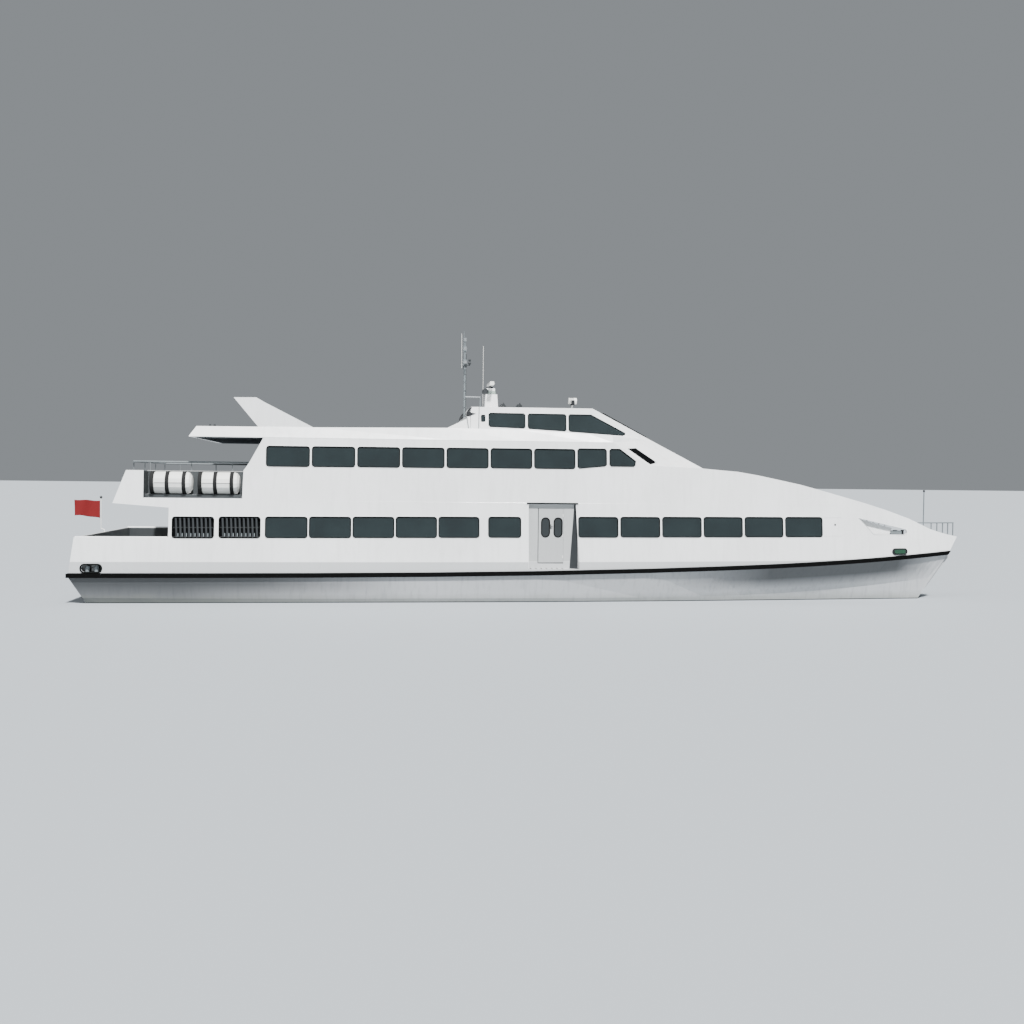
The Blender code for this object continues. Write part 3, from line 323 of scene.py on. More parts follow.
def cloth(name, code, shade, thread_mm, on_uv=False, sheen=0.3):
    """Woven cloth: two crossed sets of threads, drawn coarse enough to see."""
    material, tree, shader = finish(name, code, 0.9, Sheen_Weight=sheen, Sheen_Roughness=0.5)
    if on_uv:
        where = add(tree, "ShaderNodeUVMap", uv_map="cloth").outputs["UV"]
    else:
        where = place(tree)
    threads = [add(tree, "ShaderNodeTexWave", {"Vector": where, "Scale": 1000 * pi / (10 * thread_mm)},
                   bands_direction=axis).outputs["Fac"] for axis in ("X", "Y" if on_uv else "Z")]
    weave = add(tree, "ShaderNodeMath", {0: threads[0], 1: threads[1]}, operation="MULTIPLY").outputs[0]
    feed(shader, "Base Color", blend_colour(tree, fade(tree, weave, 0.0, 1.0, 0.55, 0.0), code, shade))
    roughen(tree, shader, weave, thread_mm * 0.3, 0.5)
    return material


def lens(name, code, painted_glint):
    """Coloured lantern lens: ribbed plastic, with the reflector's glint painted into its colour in bright
    bands.
    """
    material, tree, shader = finish(name, code, 0.12, Coat_Weight=0.6)
    ribs = add(tree, "ShaderNodeTexWave", {"Vector": place(tree), "Scale": 1000 * pi / (10 * 12)},
               bands_direction="Z").outputs["Fac"]
    # Painted highlight: bright bands of the reflector's glint blended into the colour.
    tree.links.new(blend_colour(tree, fade(tree, ribs, 0.0, 1.0, painted_glint, 0.0), code, "#FFFFFF"),
                   shader.inputs["Base Color"])
    roughen(tree, shader, ribs, 1.5, 0.5)
    return material


ENAMEL = painted_plating("white marine enamel", "#EDEEEE", "#BFC0BE", 0.22)
# This enamel carries painted shade on the strip over the fender and in the door recess.
SIDE_ENAMEL = painted_plating("white marine enamel over the fender", "#EDEEEE", "#BFC0BE", 0.22,
                              over_fender=True)
# Painted shade: the door leaf's grey stands in for the shade of its recess.
RECESS_SHADED_DOOR_ENAMEL = painted_plating("white door enamel greyed with painted recess shade", "#AEB0B0", "#989A9A", 0.22)
INNER_ENAMEL = painted_plating("grey marine enamel inside bulwarks", "#B9BCBD", "#8C8E8D", 0.3, 0.45)
# Painted shade: this dark grey stands in for the shade inside the after well, the raft bay and on the after
# ribs.
WELL_SHADE_PAINT = painted_plating("dark grey painted well shade", "#3C4042", "#2C2F30", 0.3, 0.5)
HULL = hull_paint()
DECK = grit_deck("non-slip deck paint", "#6C7274")
CARPET = cloth("woven carpet", "#39424C", "#20262D", 9.0)
FENDER = black_rubber("EPDM fender rubber", "#030303", salt_tone="#0B0C0C")
GASKET = black_rubber("EPDM window gasket", "#0D0F0F", 0.6, salt_tone="#1E2020")
TINT = tinted_glass("tinted toughened glass", "#2B3335")
STEEL = satin_metal("brushed stainless steel", "#B9BCBE")
ALUMINIUM = satin_metal("satin anodised aluminium", "#C6C8CA", 0.34)
BRONZE = satin_metal("cast nickel bronze", "#B08A4E", 0.32)
MATT_BLACK = moulded("matt black glare paint", "#0A0B0C", 1.0, "#101112", Specular_IOR_Level=0.0)
# Painted shade under the roof overhang.
OVERHANG_SHADE_PAINT = moulded("matt grey painted overhang shade", "#4C5054", 1.0, "#44484B", Specular_IOR_Level=0.0)
DOOR_GLASS = moulded("dark obscured glass", "#12181A", 0.12, "#1A2123", depth_mm=0.05, Coat_Weight=0.3)
BLACK_PAINT = moulded("black semi-gloss enamel", "#15171A", 0.4, "#2C2E30")
GREY_PAINT = moulded("grey machinery enamel", "#6B7275", 0.45, "#4E5457")
BLADE_PAINT = moulded("dark grey blade enamel", "#303335", 0.5, "#232527", Specular_IOR_Level=0.25)
GREEN_PAINT = moulded("green machinery enamel", "#3F5C4E", 0.45, "#2C4238")
PALE_GREEN_PAINT = moulded("pale green machinery enamel", "#A9BDB2", 0.45, "#8FA398")
GELCOAT = moulded("white gelcoat", "#ECECE8", 0.3, "#CFCFC6", Coat_Weight=0.3)
ORANGE = moulded("orange lifebuoy polyethylene", "#D9571E", 0.5, "#B8481A")
SEAT_CLOTH = cloth("blue seat moquette", "#27436E", "#142644", 7.0)
SEAT_SHELL = moulded("grey ABS seat shell", "#55595E", 0.5, "#3C4044")
WEBBING = cloth("black polyester webbing", "#0A0B0C", "#040404", 5.0, sheen=0.0)
FLAG = cloth("red flag bunting", "#7C0004", "#4A0103", 3.0, on_uv=True, sheen=0.0)
GREEN_LENS = lens("green lantern lens", "#033520", 0.02)
RED_LENS = lens("red lantern lens", "#7E1114", 0.10)
CLEAR_LENS = lens("clear lantern lens", "#4D565B", 0.3)
ROPE = cloth("braided mooring rope", "#C9C2AE", "#8D8672", 14.0)


# ---------------------------------------------------------------- making pieces
def smooth(mesh):
    mesh.polygons.foreach_set("use_smooth", [True] * len(mesh.polygons))
    mesh.set_sharp_from_angle(angle=radians(35.0))


def piece(name, mesh, material, body=SHIP):
    item = bpy.data.objects.new(name, mesh)
    bpy.context.scene.collection.objects.link(item)
    mesh.materials.clear()
    mesh.materials.append(material)
    smooth(mesh)
    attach(item, body)
    return item


def closed(shape, name):
    """Turns a bmesh into a mesh with its doubles merged and its faces pointing out."""
    bmesh.ops.remove_doubles(shape, verts=shape.verts, dist=1e-5)
    bmesh.ops.recalc_face_normals(shape, faces=shape.faces)
    mesh = bpy.data.meshes.new(name)
    shape.to_mesh(mesh)
    shape.free()
    return mesh


def add_prism(shape, ring, far_ring):
    """Adds a closed solid between two rings of points."""
    near = [shape.verts.new(p) for p in ring]
    far = [shape.verts.new(p) for p in far_ring]
    shape.faces.new(near)
    shape.faces.new(list(reversed(far)))
    count = len(near)
    for i in range(count):
        j = (i + 1) % count
        shape.faces.new((near[j], near[i], far[i], far[j]))


def add_box(shape, low, high, round_off=0.0):
    made = bmesh.ops.create_cube(shape, size=1.0)
    size = [b - a for a, b in zip(low, high)]
    middle = [(a + b) / 2 for a, b in zip(low, high)]
    turn = Matrix.Translation(middle) @ Matrix.Diagonal((*size, 1))
    bmesh.ops.transform(shape, matrix=turn, verts=made["verts"])
    if round_off:
        edges = {e for v in made["verts"] for e in v.link_edges}
        bmesh.ops.bevel(shape, geom=list(edges), offset=round_off, segments=2, affect="EDGES",
                        clamp_overlap=True)


def solid(name, shape, material, body=SHIP):
    return piece(name, closed(shape, name), material, body)


def boxes(name, spans, material, round_off=0.0, body=SHIP):
    """One piece of boxes, each given as its ends along X, Y and Z."""
    shape = bmesh.new()
    for x0, x1, y0, y1, z0, z1 in spans:
        y0, y1 = sorted((y0, y1))
        add_box(shape, (x0, y0, z0), (x1, y1, z1), round_off)
    return solid(name, shape, material, body)


def turnings(name, parts, material, body=SHIP):
    """One piece of turned solids, each given as add_turned wants it."""
    shape = bmesh.new()
    for part in parts:
        add_turned(shape, *part)
    return solid(name, shape, material, body)


def prisms(name, rings, material):
    """One piece of prisms, each given as its ring of points and the way to the far ring."""
    shape = bmesh.new()
    for ring, way in rings:
        add_prism(shape, ring, [p + way for p in ring])
    return solid(name, shape, material)


def add_turned(shape, profile, centre, axis=(0, 0, 1), sides=16):
    """Adds a solid turned about an axis; the profile is (radius, distance) pairs from end to end."""
    turn = Matrix.Translation(centre) @ Vector(axis).to_track_quat("Z", "Y").to_matrix().to_4x4()
    rings = []
    for r, z in profile:
        if r == 0:
            rings.append([shape.verts.new(turn @ Vector((0, 0, z)))])
        else:
            rings.append([shape.verts.new(turn @ Vector((r * cos(2 * pi * k / sides),
                                                         r * sin(2 * pi * k / sides), z)))
                          for k in range(sides)])
    for lower, upper in zip(rings, rings[1:]):
        for k in range(sides):
            n = (k + 1) % sides
            a, b = lower[k % len(lower)], lower[n % len(lower)]
            c, d = upper[n % len(upper)], upper[k % len(upper)]
            corners = []
            for corner in (a, b, c, d):
                if corner not in corners:
                    corners.append(corner)
            if len(corners) > 2:
                shape.faces.new(corners)


def paths(name, routes, closed_loop=False):
    """A mesh of edges only, for the trees below to follow."""
    points, edges = [], []
    for route in routes:
        start = len(points)
        points += [tuple(p) for p in route]
        edges += [(start + k, start + k + 1) for k in range(len(route) - 1)]
        if closed_loop:
            edges.append((start + len(route) - 1, start))
    mesh = bpy.data.meshes.new(name)
    mesh.from_pydata(points, edges, [])
    return mesh


def new_tree(name, **inputs):
    """An empty Geometry Nodes tree with a geometry way in and out and named sizes."""
    tree = bpy.data.node_groups.new(name, "GeometryNodeTree")
    kinds = {"size": "NodeSocketFloat", "count": "NodeSocketInt", "vector": "NodeSocketVector",
             "object": "NodeSocketObject", "material": "NodeSocketMaterial"}
    tree.interface.new_socket(name="Geometry", in_out="INPUT", socket_type="NodeSocketGeometry")
    tree.interface.new_socket(name="Geometry", in_out="OUTPUT", socket_type="NodeSocketGeometry")
    for label, kind in inputs.items():
        tree.interface.new_socket(name=label, in_out="INPUT", socket_type=kinds[kind])
    return tree, tree.nodes.new("NodeGroupInput"), tree.nodes.new("NodeGroupOutput")


def close_tree(tree, way_in, way_out, shape):
    """Every tree ends in real geometry with its material set."""
    real = add(tree, "GeometryNodeRealizeInstances", {"Geometry": shape})
    painted = add(tree, "GeometryNodeSetMaterial", {"Geometry": real.outputs["Geometry"],
                                                    "Material": way_in.outputs["Material"]})
    tree.links.new(painted.outputs["Geometry"], way_out.inputs["Geometry"])
    return tree


def moulding_tree():
    """A round bead, pipe or cable that follows edges."""
    tree, way_in, way_out = new_tree("round moulding", Radius="size", Sides="count", Material="material")
    line = add(tree, "GeometryNodeMeshToCurve", {"Mesh": way_in.outputs["Geometry"]})
    section = add(tree, "GeometryNodeCurvePrimitiveCircle", {"Resolution": way_in.outputs["Sides"],
                                                             "Radius": way_in.outputs["Radius"]})
    swept = add(tree, "GeometryNodeCurveToMesh", {"Curve": line.outputs["Curve"],
                                                  "Profile Curve": section.outputs["Curve"],
                                                  "Fill Caps": True})
    return close_tree(tree, way_in, way_out, swept.outputs["Mesh"])


def copies_tree():
    """One made piece, repeated on points."""
    tree, way_in, way_out = new_tree("copies on points", Piece="object", Material="material")
    source = add(tree, "GeometryNodeObjectInfo", {"Object": way_in.outputs["Piece"]})
    spread = add(tree, "GeometryNodeInstanceOnPoints", {"Points": way_in.outputs["Geometry"],
                                                        "Instance": source.outputs["Geometry"]})
    return close_tree(tree, way_in, way_out, spread.outputs["Instances"])


def slats_tree():
    """A straight row of equal bars."""
    tree, way_in, way_out = new_tree("row of bars", Count="count", Start="vector", Step="vector",
                                     Size="vector", Turn="vector", Material="material")
    line = add(tree, "GeometryNodeMeshLine", {"Count": way_in.outputs["Count"],
                                              "Start Location": way_in.outputs["Start"],
                                              "Offset": way_in.outputs["Step"]})
    bar = add(tree, "GeometryNodeMeshCube", {"Size": way_in.outputs["Size"]})
    spread = add(tree, "GeometryNodeInstanceOnPoints", {"Points": line.outputs["Mesh"],
                                                        "Instance": bar.outputs["Mesh"],
                                                        "Rotation": way_in.outputs["Turn"]})
    return close_tree(tree, way_in, way_out, spread.outputs["Instances"])


def studs_tree():
    """Round heads at even spacing along edges, standing along one direction."""
    tree, way_in, way_out = new_tree("studs along a line", Spacing="size", Radius="size", Height="size",
                                     Turn="vector", Material="material")
    line = add(tree, "GeometryNodeMeshToCurve", {"Mesh": way_in.outputs["Geometry"]})
    spots = add(tree, "GeometryNodeCurveToPoints", {"Curve": line.outputs["Curve"],
                                                    "Length": way_in.outputs["Spacing"]}, mode="LENGTH")
    head = add(tree, "GeometryNodeMeshCylinder", {"Vertices": 8, "Radius": way_in.outputs["Radius"],
                                                  "Depth": way_in.outputs["Height"]})
    spread = add(tree, "GeometryNodeInstanceOnPoints", {"Points": spots.outputs["Points"],
                                                        "Instance": head.outputs["Mesh"],
                                                        "Rotation": way_in.outputs["Turn"]})
    return close_tree(tree, way_in, way_out, spread.outputs["Instances"])


MOULDING, COPIES, SLATS, STUDS = (make() for make in (moulding_tree, copies_tree, slats_tree, studs_tree))


def grow(name, base, tree, body=SHIP, **values):
    """Runs a tree on a base mesh and keeps the result as one plain piece."""
    holder = bpy.data.objects.new(name + " path", base)
    bpy.context.scene.collection.objects.link(holder)
    modifier = holder.modifiers.new("tree", "NODES")
    modifier.node_group = tree
    for item in tree.interface.items_tree:
        if item.item_type == "SOCKET" and item.in_out == "INPUT" and item.name in values:
            modifier[item.identifier] = values[item.name]
    bpy.context.view_layer.update()
    ready = holder.evaluated_get(bpy.context.evaluated_depsgraph_get())
    made = bpy.data.meshes.new_from_object(ready)
    bpy.data.objects.remove(holder, do_unlink=True)
    shape = bmesh.new()
    shape.from_mesh(made)
    mesh = closed(shape, name)
    return piece(name, mesh, values["Material"], body)


def beads(name, routes, radius, material, sides=8, loop=False, body=SHIP):
    return grow(name, paths(name, routes, loop), MOULDING, body, Radius=radius, Sides=sides,
                Material=material)


def copies(name, pattern, points, material):
    """pattern is a mesh; it is laid at each point."""
    source = bpy.data.objects.new(name + " pattern", pattern)
    bpy.context.scene.collection.objects.link(source)
    dots = bpy.data.meshes.new(name + " points")
    dots.from_pydata([tuple(p) for p in points], [], [])
    made = grow(name, dots, COPIES, Piece=source, Material=material)
    bpy.data.objects.remove(source, do_unlink=True)
    return made


# ---------------------------------------------------------------- outlines of the openings
def rounded(x0, x1, z0, z1, radius=0.09, steps=4):
    points = []
    for cx, cz, start in ((x1 - radius, z1 - radius, 0), (x0 + radius, z1 - radius, 90),
                          (x0 + radius, z0 + radius, 180), (x1 - radius, z0 + radius, 270)):
        for i in range(steps + 1):
            angle = radians(start + 90 * i / steps)
            points.append((cx + radius * cos(angle), cz + radius * sin(angle)))
    return points


def spread_out(loop, distance):
    """The same outline, larger by a distance all round (smaller if it is negative)."""
    count = len(loop)
    area = sum(loop[i][0] * loop[(i + 1) % count][1] - loop[(i + 1) % count][0] * loop[i][1]
               for i in range(count))
    turn = 1 if area > 0 else -1
    result = []
    for i, (x, z) in enumerate(loop):
        (x0, z0), (x1, z1) = loop[i - 1], loop[(i + 1) % count]
        a, b = Vector((x - x0, z - z0)).normalized(), Vector((x1 - x, z1 - z)).normalized()
        normal = Vector((a.y + b.y, -a.x - b.x)).normalized() * turn
        reach = distance / max(0.5, normal.dot(Vector((a.y, -a.x)) * turn))
        result.append((x + normal.x * reach, z + normal.y * reach))
    return result


def row_of(first, width, pitch, count, bottom, slope, height):
    loops = []
    for k in range(count):
        x = first + k * pitch
        low = bottom + slope * x
        loops.append(rounded(x, x + width, low, low + height, steps=2))
    return loops


LOWER_ROW = (2.31, 0.006, 0.74)
INTAKES = row_of(-12.78, 1.40, 1.56, 2, *LOWER_ROW)
LOWER_WINDOWS = (row_of(-9.66, 1.44, 1.495, 5, *LOWER_ROW) + row_of(-1.92, 1.17, 1.5, 1, *LOWER_ROW)
                 + row_of(1.31, 1.46, 1.54, 6, *LOWER_ROW))
UPPER_WINDOWS = row_of(-9.66, 1.49, 1.565, 7, 4.76, 0.004, 0.72) + [
    [(1.30, 4.85), (1.37, 4.78), (2.30, 4.87), (2.37, 4.93),
     (2.37, 5.44), (2.31, 5.51), (1.37, 5.51), (1.30, 5.44)],
    [(2.47, 4.94), (2.53, 4.87), (3.36, 4.87), (3.42, 4.93),
     (3.44, 5.08), (2.86, 5.51), (2.53, 5.51), (2.47, 5.44)]]
WHEELHOUSE_PANES = [
    rounded(-2.03, -1.87, 6.50, 6.76, 0.04, 2),
    [(-1.75, 6.37), (-1.69, 6.31), (-0.43, 6.27), (-0.37, 6.32), (-0.37, 6.78), (-0.43, 6.84), (-1.69, 6.84),
     (-1.75, 6.78)],
    [(-0.28, 6.32), (-0.22, 6.26), (1.12, 6.19), (1.18, 6.24), (1.18, 6.78), (1.12, 6.84), (-0.22, 6.84),
     (-0.28, 6.78)],
    [(1.26, 6.24), (1.32, 6.18), (3.32, 6.06), (3.42, 6.10),
     (3.42, 6.17), (2.12, 6.84), (1.32, 6.84), (1.26, 6.78)]]
FAIRLEAD = rounded(-15.74, -15.08, 1.09, 1.33, 0.11, 3)
SIDE_DOOR_WINDOWS = [rounded(x, x + 0.31, 2.32, 3.02, 0.15, 4) for x in (0.0, 0.455)]
BOW_OPENING = [(11.97, 3.07), (12.57, 2.47), (13.88, 2.45), (13.98, 2.50), (14.0, 2.58), (13.93, 2.66)]


# ---------------------------------------------------------------- glazing
def glaze(name, loops, surface, inset, thickness, inward, material=TINT, body=SHIP):
    """A pane in each outline: surface gives the outer face, inward is the way into the cabin."""
    shape = bmesh.new()
    for loop in loops:
        outline = [surface(x, z) for x, z in spread_out(loop, -0.001)]
        add_prism(shape, [p + inward * inset for p in outline],
                  [p + inward * (inset + thickness) for p in outline])
    return piece(name, closed(shape, name), material, body)


def frames(name, loops, surface, radius=0.020, material=GASKET, grow_by=-0.006, body=SHIP, sides=8):
    rings = [[surface(x, z) for x, z in spread_out(loop, grow_by)] for loop in loops]
    return beads(name, rings, radius, material, sides, loop=True, body=body)


def make_glazing():
    for side, hand in SIDES:
        inward = Vector((0, -hand, 0))
        lower = glaze("lower_panes_" + side, LOWER_WINDOWS, on_side(hand), 0.016, 0.010, inward)
        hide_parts("lower_glass_aft_" + side, "lower_glass_forward_" + side)
        upper = glaze("upper_panes_" + side, UPPER_WINDOWS, on_side(hand), 0.016, 0.010, inward)
        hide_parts("upper_glass_" + side)
        frames("side_gaskets_" + side, LOWER_WINDOWS + UPPER_WINDOWS, on_side(hand, -0.008))
        frames("side_trims_" + side, LOWER_WINDOWS + UPPER_WINDOWS + INTAKES, on_side(hand, 0.0), 0.010,
               ENAMEL, grow_by=0.016)
        frames("wheelhouse_gaskets_" + side, WHEELHOUSE_PANES, on_wheelhouse(hand, -0.006), radius=0.014)
        glaze("door_panes_" + side, SIDE_DOOR_WINDOWS, on_door(hand), 0.012, 0.008, inward, DOOR_GLASS,
              "side_door_" + side)
        frames("door_gaskets_" + side, SIDE_DOOR_WINDOWS, on_door(hand, -0.002), radius=0.021,
               body="side_door_" + side)
    make_windscreen()


SCREEN_TOP, SCREEN_FOOT = Vector((2.18, 0, 7.07)), Vector((4.38, 0, 5.92))


def windscreen_point(u, y, lift=0.0):
    """u runs down the windscreen from its middle, y across it."""
    down = (SCREEN_FOOT - SCREEN_TOP).normalized()
    out = Vector((-down.z, 0, down.x))
    middle = Vector((3.42, 0, 6.42))
    return middle + down * u + out * lift + Vector((0, y, 0))


def make_windscreen():
    loops = [rounded(-0.90, 0.90, -1.74 + k * 0.88, -0.90 + k * 0.88, 0.06, 3) for k in range(4)]
    down = (SCREEN_FOOT - SCREEN_TOP).normalized()
    inward = Vector((down.z, 0, -down.x))
    shape = bmesh.new()
    for loop in loops:
        ring = [windscreen_point(u, y) for u, y in spread_out(loop, -0.001)]
        add_prism(shape, [p + inward * 0.014 for p in ring], [p + inward * 0.024 for p in ring])
    for hand in (-1, 1):
        surface, side = on_wheelhouse(hand), Vector((0, -hand, 0))
        for loop in WHEELHOUSE_PANES:
            ring = [surface(x, z) for x, z in spread_out(loop, -0.001)]
            add_prism(shape, [p + side * 0.014 for p in ring], [p + side * 0.022 for p in ring])
    panes = piece("wheelhouse_panes", closed(shape, "wheelhouse_panes"), TINT)
    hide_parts("wheelhouse_glass")
    beads("windscreen_gaskets", [[windscreen_point(u, y, -0.002) for u, y in spread_out(loop, -0.006)]
                                 for loop in loops], 0.018, GASKET, loop=True)
    outline = rounded(-0.95, 0.95, -1.79, 1.79, 0.08)
    beads("windscreen_surround", [[windscreen_point(u, y, 0.026) for u, y in outline]],
          0.034, GASKET, loop=True)
    feet = [-1.32 + k * 0.88 for k in range(4)]
    beads("wiper_arms", [[windscreen_point(-0.97, y, 0.02), windscreen_point(-0.94, y, 0.05),
                          windscreen_point(-0.35, y + 0.12, 0.028)] for y in feet], 0.009, BLACK_PAINT, 6)
    beads("wiper_blades", [[windscreen_point(-0.72, y + 0.10, 0.018), windscreen_point(0.02, y + 0.14, 0.018)]
                           for y in feet], 0.012, GASKET, 6)


# ---------------------------------------------------------------- sides
def make_intakes():
    """Upright blades in front of the dark grille in each air intake."""
    blades, end_gap, blade_width = 9, 0.13, 0.060
    for side, hand in SIDES:
        for k, loop in enumerate(INTAKES):
            x0, x1 = min(x for x, z in loop), max(x for x, z in loop)
            z0, z1 = min(z for x, z in loop), max(z for x, z in loop)
            pitch = (x1 - x0 - 2 * end_gap) / (blades - 1)
            blade_y = hand * (side_y(x0, (z0 + z1) / 2) - 0.040)
            grow("intake_blades_%s_%d" % (side, k), bpy.data.meshes.new("start"), SLATS, Count=blades,
                 Start=(x0 + end_gap, blade_y, (z0 + z1) / 2), Step=(pitch, 0, 0),
                 Size=(blade_width, 0.040, z1 - z0 - 0.06), Turn=(hand * LEAN, 0, radians(28)),
                 Material=BLADE_PAINT)
            # Painted highlight: light grey feet between the blades stand for the bright dots at the foot of
            # each slot.
            foot_y = hand * (side_y(x0, z0 + 0.12) - 0.034)
            grow("intake_drips_%s_%d" % (side, k), bpy.data.meshes.new("start"), SLATS, Count=blades - 1,
                 Start=(x0 + end_gap + pitch / 2, foot_y, z0 + 0.12), Step=(pitch, 0, 0),
                 Size=(0.028, 0.02, 0.11), Turn=(hand * LEAN, 0, 0), Material=GREY_PAINT)
            inside = on_side(hand, -0.03)
            rails = [[inside(x0 + 0.02, z), inside(x1 - 0.02, z)]
                     for z in (z0 + 0.05, (z0 + z1) / 2, z1 - 0.05)]
            beads("intake_rails_%s_%d" % (side, k), rails, 0.008, BLADE_PAINT, 6)
        frames("intake_gaskets_" + side, INTAKES, on_side(hand, -0.006))


def make_side_lines():
    """Panel seams, the blind window's edges, the drip rail over the door and the shore socket."""
    recess_heights = (3.49, 2.4, 1.5, 1.21)
    for side, hand in SIDES:
        seam, raised = on_side(hand, -0.001), on_side(hand, 0.002)
        stations = (-12.85, -8.0, -4.0, 0.0, 4.0, 6.5, 8.0, 9.0, 10.2, 11.28)
        beads("panel_seam_" + side, [[seam(x, 3.541) for x in stations]], 0.004, ENAMEL, 6)
        beads("blind_window_edges_" + side, [[raised(x, z + 0.006 * (x - 10.5)) for x in (10.55, 11.28)]
                                             for z in (2.42, 3.09)], 0.005, ENAMEL, 6)
        beads("door_drip_rail_" + side, [[on_side(hand, 0.012)(x, 3.53) for x in (-0.54, 0.4, 1.31)]], 0.026,
              GASKET, 8)
        edges = [[raised(x, z) for z in recess_heights] for x in (-0.48, 1.30)]
        beads("door_recess_edge_" + side, edges, 0.008,
              ENAMEL, 6)
        turnings("side_socket_" + side, [([(0, 0), (0.035, 0), (0.03, 0.02), (0, 0.022)],
                                          on_side(hand, -0.004)(10.98, 2.83), (0, hand, 0), 14)], BLADE_PAINT)
        make_door_shade_wedge(side, hand)


def make_door_shade_wedge(side, hand):
    """A dark wedge on the forward cheek of the door recess, wider towards its foot: painted shade."""
    plane, head, foot = DOOR_Y + 0.003, 3.49, 1.206
    shape = bmesh.new()
    spots = ((1.186, plane, head), (1.230, plane + 0.08, head), (1.035, plane, foot), (1.186, plane, foot),
             (1.335, side_y(1.3, foot) - 0.01, foot))
    head_in, head_out, foot_in, corner, foot_out = (shape.verts.new((x, hand * y, z)) for x, y, z in spots)
    for face in ((head_in, foot_in, foot_out, head_out), (head_in, head_out, foot_out, corner),
                 (head_in, corner, foot_in), (corner, foot_out, foot_in)):
        shape.faces.new(face)
    # Painted shade: the dark wedge stands in for the shadow at the recess's forward cheek.
    solid("door_splay_" + side, shape, BLADE_PAINT)


def make_side_doors():
    """Hinges, handle, seal and step treads of the boarding doors."""
    x0, x1, z0, z1 = DOOR_X[0] + 0.012, DOOR_X[1] - 0.008, 1.40, 3.35
    for side, hand in SIDES:
        body, y = "side_door_" + side, hand * DOOR_Y
        seal, face, grip = on_door(hand, 0.002), on_door(hand), on_door(hand, 0.035)
        beads("door_seal_" + side, [[seal(x, z) for x, z in ((x0, z1), (x0, z0), (x1, z0))]], 0.012,
              GASKET, 6, body=body)
        plate = on_door(hand, 0.004)
        beads("door_handle_" + side, [[face(0.345, 2.70), grip(0.345, 2.70), grip(0.415, 2.70)],
                                      [plate(0.345, 2.62), plate(0.345, 2.78)]],
              0.014, BLACK_PAINT, 8, body=body)
        boxes("door_hinges_" + side, [(0.775, 0.797, y, y + hand * 0.012, z - 0.05, z + 0.05)
                                      for z in (1.62, 2.38, 3.10)], GELCOAT, 0.004, body)
        boxes("door_step_treads_" + side, [(x, x + 0.03, y + hand * 0.01, hand * (HALF_BEAM - 0.02),
                                            1.202, 1.212)
                                           for x in (-0.40 + k * 0.19 for k in range(7))], BLACK_PAINT)


def make_hull_gear():
    """Fender bolts, mooring slot, bow opening, side lights and anodes of the hulls."""
    roller = [(0, 0), (0.075, 0), (0.075, 0.22), (0.05, 0.24), (0, 0.24)]
    lamp = rounded(13.33, 13.98, 1.71, 1.94, 0.114, 5)
    glass = rounded(13.415, 13.895, 1.755, 1.895, 0.069, 5)
    for side, hand in SIDES:
        face, out = on_side(hand), Vector((0, hand, 0))
        stations = (-16.0, -14.0, -11.5, -8.0, -4.0, 0.0, 4.0, 6.5, 8.0, 9.0, 10.2, 11.3, 12.3, 13.2, 14.1,
                    15.0, 15.5)
        line = [(x, hand * (outer_y(x) + 0.073), deck_edge(x) - 0.085) for x in stations]
        grow("fender_bolts_" + side, paths("bolts", [line]), STUDS, Spacing=0.45, Radius=0.018, Height=0.012,
             Turn=(radians(90), 0, 0), Material=GASKET)
        frames("mooring_slot_rim_" + side, [FAIRLEAD], on_side(hand, 0.004), 0.026, GASKET, 0.018, sides=10)
        turnings("slot_rollers_" + side, [(roller, (x, hand * 3.84, DECK_Z + 0.001))
                                          for x in (-15.56, -15.26)], GREY_PAINT)
        frames("bow_opening_rim_" + side, [BOW_OPENING], face, 0.012, ENAMEL, 0.004)
        ring = [face(x, z) for x, z in lamp]
        prisms("side_light_box_" + side, [([p + out * 0.012 for p in ring], out * -0.032)], BLACK_PAINT)
        ring = [face(x, z) for x, z in glass]
        prisms("side_light_" + side, [([p + out * 0.030 for p in ring], out * -0.030)],
               GREEN_LENS if hand < 0 else RED_LENS)
        beads("side_light_rim_" + side, [[face(x, z) + out * 0.012 for x, z in lamp]], 0.012, BLACK_PAINT, 8,
              loop=True)
        make_bow_lining(side, hand)
        boxes("anodes_" + side, [(x - 0.15, x + 0.15, y - 0.03, y + 0.03, -0.60, -0.50)
                                 for x in (-14.9, -13.2)
                                 for y in (hand * HULL_Y - 0.45, hand * HULL_Y + 0.45)], ALUMINIUM, 0.012)


def make_bow_lining(side, hand):
    """Sloping plate, roller box and roller that stand just inside each bow mooring opening."""
    corners = ((12.02, 3.05), (13.42, 2.70), (13.30, 2.44), (12.52, 2.44))
    ring = [on_side(hand, -0.16)(x, z) for x, z in corners]
    prisms("bow_lining_" + side, [(ring, Vector((0, hand * -0.03, 0)))], ENAMEL)
    face = side_y(13.6, 2.5)
    y0, y1 = hand * (face - 0.10), hand * (face - 0.34)
    boxes("bow_roller_box_" + side, [(13.34, 13.80, y0, y1, 2.34, 2.60)], GREY_PAINT, 0.02)
    turnings("bow_roller_" + side, [([(0, 0), (0.07, 0), (0.05, 0.05), (0.05, 0.22), (0.07, 0.27), (0, 0.27)],
                                     (13.88, (y0 + y1) / 2, 2.36))], BLACK_PAINT)


